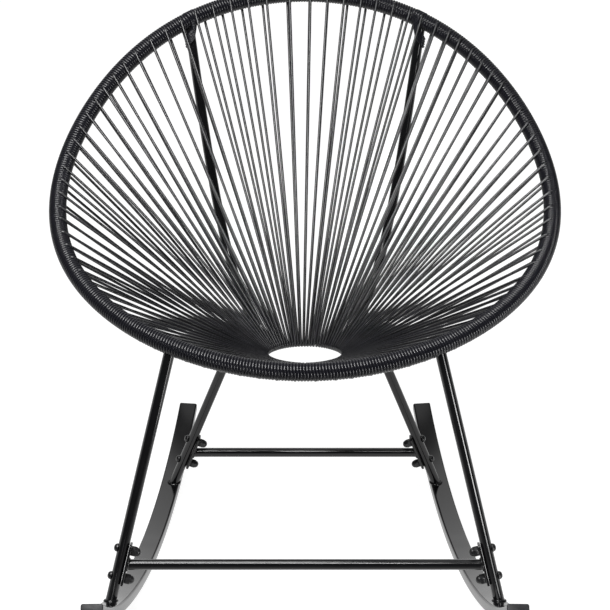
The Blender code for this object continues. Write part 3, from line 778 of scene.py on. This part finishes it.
def rocker_ring(side, angle, shrink=0.0, corner=ROCKER_CORNER, forward=0.0):
    """Section of a rocker at an arc angle, drawn in by a shrink."""
    lateral = rocker_heading(side, angle).cross(rocker_normal(angle)).normalized()
    outline = round_rectangle(ROCKER_WIDTH - 2.0 * shrink, ROCKER_THICKNESS - 2.0 * shrink, corner)
    middle = ROCKER_THICKNESS / 2.0
    return [rocker_point(side, angle, middle + up, forward) + across * lateral for across, up in outline]


rockers = []
sweep = rocker_rear - rocker_front
angles = [rocker_front + sweep * step / ROCKER_STEPS for step in range(ROCKER_STEPS + 1)]
for label, side in SIDES.items():
    rocker = skin(f"rocker_tube_{label}", [rocker_ring(side, angle) for angle in angles], POWDER_COAT)
    rockers.append(settle(rocker, "frame_paint", f"rocker_{label}"))
    for end, angle, outwards in (("front", rocker_front, -1.0), ("rear", rocker_rear, 1.0)):
        rings = [rocker_ring(side, angle, shrink, ROCKER_CORNER - shrink / 2.0, outwards * reach)
                 for shrink, reach in CAP_PROFILE]
        cap = skin(f"rocker_end_cap_{end}_{label}", rings, CAP_PLASTIC)
        rockers.append(settle(cap, "end_cap", f"rocker_cap_{end}_{label}"))
print("rockers and caps:", len(rockers), "pieces,", triangles(rockers), "triangles")

# %% [markdown]
# ## Stays, legs and stretchers
#
# Two bent stays run behind the back strings, from just beside the heads of the rear legs to the back of
# the hoop. The rear legs are welded to them, and the front legs to the hoop. The stays and the stretchers
# are round tube on a path, so the tree for round stock makes them. A leg ends inside what it is welded
# to, and its foot is cut to the rocker's upper face, which a swept circle can't give, so a leg is a skin
# between two rings of points.

# %% Measures of the tubes
STAY_DIAMETER = 0.0150
STAY_UNDER_RING = 0.01586
STAY_FOOT_SHARE = 0.17
STAY_RING_LOOP = 32.0
STAY_RING_PULL = (0.075, 0.171, 0.025)
STAY_HOOP_PULL = (-0.042, -0.026, -0.329)
LEG_DIAMETER = 0.0155
FRONT_FOOT_Y = -0.2755
FRONT_FOOT_INSET = -0.004
REAR_FOOT_Y = 0.2125
REAR_FOOT_INSET = 0.0065
REAR_LEG_SHARE = 0.25
STRETCHER_DIAMETER = 0.015
FRONT_PLATE_UP = 0.058
REAR_PLATE_UP = 0.067
PLATE_LENGTH = 0.062
PLATE_WIDTH = 0.018
PLATE_THICKNESS = 0.0035
GAP = 0.0003
TUBE_SIDES = 28


def stay_curve(side, share):
    """Point of the line that a back stay follows, from under the ring to the hoop."""
    ring_end = ring_at(side * STAY_RING_LOOP)[0] - STAY_UNDER_RING * RING_UPWARD
    hoop_end = hoop_at(side * STAY_HOOP_LOOP)
    mirror = Vector((side, 1.0, 1.0))
    ring_pull = ring_end + Vector(STAY_RING_PULL) * mirror
    hoop_pull = hoop_end + Vector(STAY_HOOP_PULL) * mirror
    rest = 1.0 - share
    return (rest ** 3 * ring_end + 3.0 * rest ** 2 * share * ring_pull
            + 3.0 * rest * share ** 2 * hoop_pull + share ** 3 * hoop_end)


print("lower end of the left stay:", tuple(stay_curve(SIDES["left"], STAY_FOOT_SHARE)))

# %% [markdown]
# ## Lashings of the stays
#
# Where a stay meets the hoop, a few cords cross from the winding to the outer edge of the stay and cover
# the joint. Another helix would be the usual choice, but the cords change direction halfway. So each one
# is a smooth line through six chosen points, three on the hoop and three on the stay, and they lie side
# by side.


# %% Lashing where a stay meets the hoop
def smooth_line(points, steps):
    """A smooth line through points, with a number of steps from each to the next."""
    padded = [points[0]] + points + [points[-1]]
    line = []
    for before, start, end, after in zip(padded, padded[1:], padded[2:], padded[3:]):
        for step in range(steps):
            share = step / steps
            line.append(0.5 * (2.0 * start + (end - before) * share
                               + (2.0 * before - 5.0 * start + 4.0 * end - after) * share ** 2
                               + (3.0 * start - before - 3.0 * end + after) * share ** 3))
    return line + [points[-1]]


LASHINGS = 4
LASH_PITCH = 0.0040
LASH_STEPS = 8
STAY_TOP_SHARE = 0.93
LASH_LIFT_ON_HOOP = 0.25 * WRAP_CORD_DIAMETER
LASH_LIFT_ON_STAY = 0.4 * WRAP_CORD_DIAMETER
# On the hoop: shares of the reach outward and towards the sitter, then metres inboard.
LASH_ON_HOOP = ((0.80, -0.5, -0.006), (0.75, 0.66, -0.003), (0.0, 1.0, 0.001))
# On the stay: metres down it, shares of the reach to the front and inboard, then metres inboard.
LASH_ON_STAY = ((0.014, 1.0, 0.0, 0.004), (0.022, 0.7, -0.7, 0.0), (0.026, 0.0, -1.0, 0.0))


def lashing(side, number):
    """One cord that crosses from the top of the hoop to the outer edge of a stay."""
    loop = side * STAY_HOOP_LOOP
    along, outward, sitter = hoop_frame(loop)
    inboard = side * along
    centre = hoop_at(loop)
    down = (stay_curve(side, STAY_TOP_SHARE) - centre).normalized()
    front = (sitter - sitter.dot(down) * down).normalized()
    hoop_reach = WRAP_RADIUS + LASH_LIFT_ON_HOOP
    stay_reach = STAY_DIAMETER / 2.0 + LASH_LIFT_ON_STAY
    shift = LASH_PITCH * number
    points = []
    for out, face, aside in LASH_ON_HOOP:
        points.append(centre + hoop_reach * (out * outward + face * sitter) + (shift + aside) * inboard)
    for drop, ahead, across, aside in LASH_ON_STAY:
        edge = stay_reach * (ahead * front + across * inboard)
        points.append(centre + (drop + shift) * down + edge + aside * inboard)
    return smooth_line(points, LASH_STEPS)


print(f"first lashing cord {1000.0 * route_length(lashing(SIDES['left'], 0)):.0f} mm long")

# %% Bend the stays
STAY_STEPS = 60
stay_shares = np.linspace(STAY_FOOT_SHARE, 1.0, STAY_STEPS).tolist()
tubes = []
for label, side in SIDES.items():
    line = [stay_curve(side, share) for share in stay_shares]
    stay = grow(f"back_stay_tube_{label}", path_mesh("stay_line", [line]), ROUND_STOCK, {
        "Diameter": STAY_DIAMETER, "Sides": TUBE_SIDES, "Material": POWDER_COAT})
    tubes.append(settle(stay, "frame_paint", f"back_stay_{label}"))
    turns = [lashing(side, number) for number in range(LASHINGS)]
    cords = grow(f"stay_lashing_{label}", path_mesh("lashings", turns), ROUND_STOCK, {
        "Diameter": WRAP_CORD_DIAMETER, "Sides": STRING_SIDES, "Material": WOUND_CORD})
    tubes.append(settle(cords, "cord"))
print("stays and lashings:", len(tubes), "pieces,", triangles(tubes), "triangles")


# %% Legs
class Leg:
    """A straight leg with its foot on the rocker, and the plate and bolts near its foot."""

    def __init__(self, side, foot_y, inset, top, plate_up):
        self.rocker_angle = rocker_angle(foot_y)
        foot = rocker_point(side, self.rocker_angle, ROCKER_THICKNESS)
        self.foot = foot - side * inset * X_AXIS
        self.top = top
        self.direction = (top - self.foot).normalized()
        inward = -side * X_AXIS
        self.inward = (inward - inward.dot(self.direction) * self.direction).normalized()
        self.sideways = self.direction.cross(self.inward)
        self.plate_centre = self.foot + plate_up * self.direction

    def foot_ring(self, radius, sides):
        """Ring of points where the leg meets the rocker's upper face."""
        normal = rocker_normal(self.rocker_angle)
        ring = []
        for number in range(sides):
            angle = 2.0 * math.pi * number / sides
            point = self.foot + radius * (math.cos(angle) * self.inward + math.sin(angle) * self.sideways)
            slide = (self.foot - point).dot(normal) / self.direction.dot(normal)
            ring.append(point + self.direction * slide)
        return ring


def leg_rings(leg, radius, sides):
    """Rings of a leg tube, from its cut foot to its square top."""
    foot = leg.foot_ring(radius, sides)
    top = [point + leg.direction * (leg.top - point).dot(leg.direction) for point in foot]
    return [foot, top]


legs = {}
for label, side in SIDES.items():
    front_top = hoop_at(side * FRONT_LEG_LOOP)
    rear_top = stay_curve(side, REAR_LEG_SHARE)
    legs["front", label] = Leg(side, FRONT_FOOT_Y, FRONT_FOOT_INSET, front_top, FRONT_PLATE_UP)
    legs["rear", label] = Leg(side, REAR_FOOT_Y, REAR_FOOT_INSET, rear_top, REAR_PLATE_UP)
for (place, label), leg in legs.items():
    tube = skin(f"{place}_leg_tube_{label}", leg_rings(leg, LEG_DIAMETER / 2.0, TUBE_SIDES), POWDER_COAT)
    tubes.append(settle(tube, "frame_paint", f"{place}_leg_{label}"))
print("tubes so far:", len(tubes), "with", triangles(tubes), "triangles")

# %% Stretchers and their plates
PLATE_BACK = LEG_DIAMETER / 2.0 + GAP
PLATE_FACE = PLATE_BACK + PLATE_THICKNESS
PLATE_CORNER = 0.003
PLATE_EASE = 0.0006
for place in ("front", "rear"):
    ends = []
    for label in SIDES:
        leg = legs[place, label]
        ends.append(leg.plate_centre + PLATE_FACE * leg.inward)
        rings = []
        profile = ((PLATE_EASE, PLATE_BACK), (0.0, PLATE_BACK + PLATE_EASE),
                   (0.0, PLATE_FACE - PLATE_EASE), (PLATE_EASE, PLATE_FACE))
        for shrink, depth in profile:
            outline = round_rectangle(PLATE_LENGTH - 2.0 * shrink, PLATE_WIDTH - 2.0 * shrink, PLATE_CORNER)
            middle = leg.plate_centre + depth * leg.inward
            rings.append([middle + up * leg.direction + across * leg.sideways for up, across in outline])
        plate = skin(f"{place}_plate_{label}", rings, POWDER_COAT)
        tubes.append(settle(plate, "frame_paint", f"stretcher_plate_{place}_{label}"))
    bar = grow(f"{place}_stretcher_tube", path_mesh("stretcher_line", [ends]), ROUND_STOCK, {
        "Diameter": STRETCHER_DIAMETER, "Sides": TUBE_SIDES, "Material": POWDER_COAT})
    tubes.append(settle(bar, "frame_paint", f"{place}_stretcher"))
print("tubes and plates:", len(tubes), "with", triangles(tubes), "triangles")

# %% [markdown]
# ## Bolts and dome nuts
#
# Each plate is held by two bolts, with round heads on the outside of the leg and dome nuts on the plate.
# One bolt head and one nut are modelled by turning a profile, and a tree sets a copy on every bolt line.
# Copies made by hand would do for so few, but then a change of the plate would leave them behind.

# %% One head and one nut
BOLT_SPACING = 0.042
BOLT_RADIUS = 0.003
BOLT_STUB = 0.004
BOLT_HEAD_RADIUS = 0.006
BOLT_HEAD_HEIGHT = 0.0055
HEAD_STEPS = 7
HEAD_STEP_ANGLE = 12.0
HEAD_FULLNESS = 0.8
NUT_ACROSS_FLATS = 0.013
NUT_HEIGHT = 0.008
NUT_EASE = 0.0004
NUT_FACE_EASE = 0.0006
NUT_DOME_RADIUS = 0.0061
DOME_FOOT_RADIUS = NUT_DOME_RADIUS * 1.05
DOME_STEPS = 8
DOME_STEP_ANGLE = 11.0
FASTENER_SIDES = 24


def turned_ring(radius, height):
    """A round ring of points at a height on the Z axis."""
    angles = [2.0 * math.pi * side / FASTENER_SIDES for side in range(FASTENER_SIDES)]
    return [Vector((radius * math.cos(angle), radius * math.sin(angle), height)) for angle in angles]


def hexagon_ring(across, height):
    """A hexagon of points at a height, with as many points as a round ring."""
    ring = []
    for side in range(FASTENER_SIDES):
        angle = 2.0 * math.pi * side / FASTENER_SIDES
        slant = (angle % (math.pi / 3.0)) - math.pi / 6.0
        reach = across / 2.0 / math.cos(slant)
        ring.append(Vector((reach * math.cos(angle), reach * math.sin(angle), height)))
    return ring


head_rings = [turned_ring(BOLT_RADIUS, -BOLT_STUB), turned_ring(BOLT_RADIUS, 0.0),
              turned_ring(BOLT_HEAD_RADIUS, 0.0)]
for step in range(HEAD_STEPS):
    lift = math.radians(HEAD_STEP_ANGLE + HEAD_STEP_ANGLE * step)
    radius = BOLT_HEAD_RADIUS * math.cos(lift) ** HEAD_FULLNESS
    head_rings.append(turned_ring(radius, BOLT_HEAD_HEIGHT * math.sin(lift)))
bolt_head = skin("one_bolt_head", head_rings, BLACK_STEEL)
nut_rings = [hexagon_ring(NUT_ACROSS_FLATS - NUT_FACE_EASE, 0.0), hexagon_ring(NUT_ACROSS_FLATS, NUT_EASE),
             hexagon_ring(NUT_ACROSS_FLATS, NUT_HEIGHT - NUT_EASE),
             turned_ring(DOME_FOOT_RADIUS, NUT_HEIGHT)]
for step in range(DOME_STEPS):
    lift = math.radians(DOME_STEP_ANGLE * step)
    height = NUT_HEIGHT + NUT_DOME_RADIUS * math.sin(lift)
    nut_rings.append(turned_ring(NUT_DOME_RADIUS * math.cos(lift), height))
dome_nut = skin("one_dome_nut", nut_rings, BLACK_STEEL)
print("one bolt head and one dome nut:", triangles([bolt_head, dome_nut]), "triangles")


# %% Set them on the bolt lines
def copies_tree():
    """A copy of one object on every point, turned as the point says."""
    tree, source, result = shape_tree("set_copies", (("Copy", "Object"),))
    one = add_node(tree, "GeometryNodeObjectInfo")
    feed(tree, one.inputs["Object"], source["Copy"])
    turn = add_node(tree, "GeometryNodeInputNamedAttribute", data_type="FLOAT_VECTOR")
    turn.inputs["Name"].default_value = "turn"
    copies = add_node(tree, "GeometryNodeInstanceOnPoints")
    feed(tree, copies.inputs["Points"], source["Path"])
    feed(tree, copies.inputs["Instance"], one.outputs["Geometry"])
    feed(tree, copies.inputs["Rotation"], turn.outputs["Attribute"])
    end_tree(tree, copies.outputs["Instances"], source, result)
    return tree


SET_COPIES = copies_tree()


def places_mesh(name, places):
    """A mesh of points, each with the turn that lays Z along its direction."""
    mesh = bpy.data.meshes.new(name)
    mesh.from_pydata([tuple(point) for point, _, _ in places], [], [])
    turns = []
    for _, direction, across in places:
        turned = Matrix((across, direction.cross(across), direction)).transposed()
        turns += list(turned.to_euler())
    mesh.attributes.new("turn", "FLOAT_VECTOR", "POINT").data.foreach_set("vector", turns)
    return mesh


HEAD_BEDDING = 0.0004
NUT_CLEARANCE = 0.0001
HEAD_DEPTH = LEG_DIAMETER / 2.0 - HEAD_BEDDING
head_places = []
nut_places = []
for leg in legs.values():
    for level in (-0.5, 0.5):
        centre = leg.plate_centre + level * BOLT_SPACING * leg.direction
        head_places.append((centre - HEAD_DEPTH * leg.inward, -leg.inward, leg.direction))
        nut_places.append((centre + (PLATE_FACE + NUT_CLEARANCE) * leg.inward, leg.inward, leg.direction))
bolt_names = [f"{place}_{label}_{level}" for place, label in legs for level in ("lower", "upper")]
heads = grow("bolt_heads", places_mesh("head_places", head_places), SET_COPIES,
             {"Copy": bolt_head, "Material": BLACK_STEEL})
nuts = grow("dome_nuts", places_mesh("nut_places", nut_places), SET_COPIES,
            {"Copy": dome_nut, "Material": BLACK_STEEL})
settle(heads, "fastener", *[f"bolt_{name}" for name in bolt_names])
settle(nuts, "fastener", *[f"dome_nut_{name}" for name in bolt_names])
for template in (bolt_head, dome_nut):
    bpy.data.objects.remove(template, do_unlink=True)
print("fasteners:", triangles([heads, nuts]), "triangles")

# %% [markdown]
# ## Weld beads
#
# The legs are welded to the rockers, and the stretchers to their plates, with a thick painted bead. A
# bevel along the joint would be too even, because a hand-laid bead never is. So a closed path round each
# joint is swept with a round section, and the tree swells it here and there.

# %% Lay the beads
BEAD_DIAMETER = 0.0042
BEAD_SWELL = 0.0010
BEAD_SIDES = 10
SWELLS_PER_METRE = 230.0
LEG_BEAD_ROOM = 0.0006
STRETCHER_BEAD_ROOM = 0.0004


def bead_tree():
    """A closed bead along a path, with an uneven thickness."""
    tree, source, result = shape_tree("weld_bead", (
        ("Diameter", "Float"), ("Swell", "Float"), ("Points", "Int")))
    curve = add_node(tree, "GeometryNodeMeshToCurve")
    feed(tree, curve.inputs["Mesh"], source["Path"])
    even = add_node(tree, "GeometryNodeResampleCurve")
    feed(tree, even.inputs["Curve"], curve.outputs["Curve"])
    feed(tree, even.inputs["Count"], source["Points"])
    noise = add_node(tree, "ShaderNodeTexNoise")
    noise.inputs["Scale"].default_value = SWELLS_PER_METRE
    swell = maths(tree, "MULTIPLY", maths(tree, "SUBTRACT", noise.outputs[0], 0.5), source["Swell"])
    shape = sweep_circle(tree, even.outputs["Curve"], source["Diameter"], BEAD_SIDES)
    moved = add_node(tree, "GeometryNodeSetPosition")
    normal = add_node(tree, "GeometryNodeInputNormal").outputs["Normal"]
    feed(tree, moved.inputs["Geometry"], shape)
    feed(tree, moved.inputs["Offset"], vectors(tree, "SCALE", normal, swell))
    end_tree(tree, moved.outputs["Geometry"], source, result)
    return tree


WELD_BEAD = bead_tree()
BEAD_POINTS = 40
bead_paths = []
for leg in legs.values():
    bead_paths.append(leg.foot_ring(LEG_DIAMETER / 2.0 + LEG_BEAD_ROOM, BEAD_POINTS))
for place in ("front", "rear"):
    for label in SIDES:
        leg = legs[place, label]
        middle = leg.plate_centre + PLATE_FACE * leg.inward
        ring = []
        for number in range(BEAD_POINTS):
            angle = 2.0 * math.pi * number / BEAD_POINTS
            radius = STRETCHER_DIAMETER / 2.0 + STRETCHER_BEAD_ROOM
            point = middle + radius * (math.cos(angle) * Y_AXIS + math.sin(angle) * UP)
            ring.append(point + X_AXIS * ((middle - point).dot(leg.inward) / X_AXIS.dot(leg.inward)))
        bead_paths.append(ring)
beads = grow("weld_beads", path_mesh("bead_paths", bead_paths, closed=True), WELD_BEAD, {
    "Diameter": BEAD_DIAMETER, "Swell": BEAD_SWELL, "Points": BEAD_POINTS, "Material": POWDER_COAT})
settle(beads, "frame_paint")
print("weld beads:", triangles([beads]), "triangles")

# %% [markdown]
# ## The hoop tube
#
# The tube under the winding hardly shows, because the turns press together. A second tube would only
# double it, so its CAD node stays and takes the powder coat.

# %% Finish of the CAD node that stays
hoop_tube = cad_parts["seat_hoop_tube"]
hoop_tube.data.materials.clear()
hoop_tube.data.materials.append(POWDER_COAT)
print("CAD node that stays:", hoop_tube.name)

# %% [markdown]
# ## Floor, light and wall
#
# The photograph shows the chair on plain white, so the floor and the wall are white to the camera. Black
# gloss also shows what lies around it: a tube's middle mirrors the dark side of the room, behind the
# camera, and its edges mirror the bright wall. So, for reflections only, the world is bright straight
# behind the chair and overhead, dimmer at the sides and dark in front. The floor has one bright lane,
# also for reflections only, that draws the streak down the leg on the right. Three lamps give the other
# highlights: one overhead, a long one in front and a small strip on the right. A picture of a room could
# light all this, but it couldn't be tuned place by place.

# %% Floor
FLOOR_SIZE = 30.0
FLOOR_ROUGHNESS = 0.9
FLOOR_SPECULAR = 0.1
WHITE = (1.0, 1.0, 1.0, 1.0)
half_floor = FLOOR_SIZE / 2.0
floor_mesh = bpy.data.meshes.new("studio_floor")
floor_mesh.from_pydata([(-half_floor, -half_floor, 0.0), (half_floor, -half_floor, 0.0),
                        (half_floor, half_floor, 0.0), (-half_floor, half_floor, 0.0)], [], [(0, 1, 2, 3)])
floor = bpy.data.objects.new("studio_floor", floor_mesh)
scene.collection.objects.link(floor)
floor_finish = bpy.data.materials.new("white_floor")
floor_finish.use_nodes = True
floor_tree = floor_finish.node_tree
floor_shader = floor_tree.nodes["Principled BSDF"]
floor_shader.inputs["Roughness"].default_value = FLOOR_ROUGHNESS
floor_shader.inputs["Specular IOR Level"].default_value = FLOOR_SPECULAR
floor_shader.inputs["Emission Color"].default_value = WHITE
floor_mesh.materials.append(floor_finish)
print("floor:", FLOOR_SIZE, "m across")

# %% Glow of the floor
# Each ramp has the places where it starts and ends, and the values there.
GLOW_REACH = (0.8, 2.5)
GLOW = (0.955, 1.0)
MIRRORED_Y = (-0.42, -0.30)
MIRRORED = (0.02, 0.75)
# Painted shade: the floor's own colour is near black in front of the chair and pale behind it, so that the
# tubes mirror a dark room in front.
PAINTED_SHADE_Y = (-0.75, -0.45)
PAINTED_SHADE_TONES = (0.02, 0.25)
LANE_START = (0.28, -0.28)
LANE_ANGLE = math.radians(37.0)
LANE_HALF_ANGLE = math.radians(6.0)
LANE_FADED_ANGLE = 1.5 * LANE_HALF_ANGLE
LANE_BRIGHT = 8.0
floor_place = add_node(floor_tree, "ShaderNodeTexCoord").outputs["Object"]
floor_split = add_node(floor_tree, "ShaderNodeSeparateXYZ")
feed(floor_tree, floor_split.inputs[0], floor_place)
floor_reach = add_node(floor_tree, "ShaderNodeVectorMath", operation="LENGTH")
feed(floor_tree, floor_reach.inputs[0], floor_place)
floor_paths = add_node(floor_tree, "ShaderNodeLightPath").outputs
floor_glow = ramp(floor_tree, floor_reach.outputs["Value"], *GLOW_REACH, *GLOW)
floor_mirrored = ramp(floor_tree, floor_split.outputs["Y"], *MIRRORED_Y, *MIRRORED)
lane_x = maths(floor_tree, "SUBTRACT", floor_split.outputs["X"], LANE_START[0])
lane_y = maths(floor_tree, "SUBTRACT", LANE_START[1], floor_split.outputs["Y"])
lane_aside = maths(floor_tree, "SUBTRACT", maths(floor_tree, "ARCTAN2", lane_x, lane_y), LANE_ANGLE)
lane_aside = maths(floor_tree, "ABSOLUTE", lane_aside)
lane = ramp(floor_tree, lane_aside, LANE_HALF_ANGLE, LANE_FADED_ANGLE, LANE_BRIGHT, 0.0)
floor_mirrored = maths(floor_tree, "MAXIMUM", floor_mirrored, lane)
# The floor's colour carries the painted shade in front of the chair.
floor_painted_shade = ramp(floor_tree, floor_split.outputs["Y"], *PAINTED_SHADE_Y, *PAINTED_SHADE_TONES)
feed(floor_tree, floor_shader.inputs["Base Color"], floor_painted_shade)
floor_seen = maths(floor_tree, "MULTIPLY", floor_paths["Is Camera Ray"], floor_glow)
floor_gloss = maths(floor_tree, "MULTIPLY", floor_paths["Is Glossy Ray"], floor_mirrored)
feed(floor_tree, floor_shader.inputs["Emission Strength"], maths(floor_tree, "ADD", floor_seen, floor_gloss))
print("floor finish:", len(floor_tree.nodes), "nodes")

# %% World
WALL_BRIGHT = 1.0
WALL_TOP = 0.2
WALL_SIDE = 0.1
WALL_LOW = 0.25
CEILING_BRIGHT = 0.7
ROOM_DARK = 0.03
ROOM_FILL = 0.15
# Parts of the room by the direction that they lie in, where each ramp starts and ends.
WALL_EDGE_Y = (-0.15, 0.35)
WALL_TOP_Z = (0.74, 0.86)
WALL_SIDE_X = (0.25, 0.45)
WALL_LOW_Z = (0.10, 0.30)
CEILING_Z = (0.875, 0.92)
world = bpy.data.worlds.new("white_room")
scene.world = world
world.use_nodes = True
sky = world.node_tree
background = sky.nodes["Background"]
paths = add_node(sky, "ShaderNodeLightPath").outputs
direction = add_node(sky, "ShaderNodeTexCoord").outputs["Generated"]
split = add_node(sky, "ShaderNodeSeparateXYZ")
feed(sky, split.inputs[0], direction)
wall = ramp(sky, split.outputs["Y"], *WALL_EDGE_Y, ROOM_DARK, WALL_BRIGHT)
wall = maths(sky, "MULTIPLY", wall, ramp(sky, split.outputs["Z"], *WALL_TOP_Z, 1.0, WALL_TOP))
wall_side = ramp(sky, maths(sky, "ABSOLUTE", split.outputs["X"]), *WALL_SIDE_X, 1.0, WALL_SIDE)
wall_low = ramp(sky, split.outputs["Z"], *WALL_LOW_Z, WALL_LOW, WALL_SIDE)
wall = maths(sky, "MULTIPLY", wall, maths(sky, "MAXIMUM", wall_side, wall_low))
ceiling = ramp(sky, split.outputs["Z"], *CEILING_Z, ROOM_DARK, CEILING_BRIGHT)
room = maths(sky, "MAXIMUM", wall, ceiling)
mirrored = maths(sky, "MULTIPLY", paths["Is Glossy Ray"], room)
diffuse = maths(sky, "MULTIPLY", maths(sky, "SUBTRACT", 1.0, paths["Is Glossy Ray"]), ROOM_FILL)
unseen = maths(sky, "ADD", mirrored, diffuse)
strength = maths(sky, "MAXIMUM", paths["Is Camera Ray"], unseen)
background.inputs["Color"].default_value = WHITE
feed(sky, background.inputs["Strength"], strength)
print("world:", len(sky.nodes), "nodes")


# %% Lamps
def softbox(name, place, aim, width, height, power):
    """A soft rectangular lamp aimed at a point."""
    data = bpy.data.lights.new(name, "AREA")
    data.shape = "RECTANGLE"
    data.size = width
    data.size_y = height
    data.energy = power
    lamp = bpy.data.objects.new(name, data)
    lamp.location = place
    lamp.rotation_euler = (Vector(aim) - Vector(place)).to_track_quat("-Z", "Y").to_euler()
    scene.collection.objects.link(lamp)


softbox("overhead_softbox", place=(-0.50, -0.75, 2.30), aim=(-0.20, -0.75, 0.0),
        width=0.6, height=1.2, power=30.0)
softbox("front_softbox", place=(-0.40, -1.68, 2.20), aim=(0.0, 0.0, 0.4),
        width=1.6, height=0.24, power=42.0)
softbox("right_strip", place=(0.97, -1.19, 0.17), aim=(0.24, -0.26, 0.17),
        width=0.3, height=0.32, power=3.5)
scene.view_settings.view_transform = "Standard"
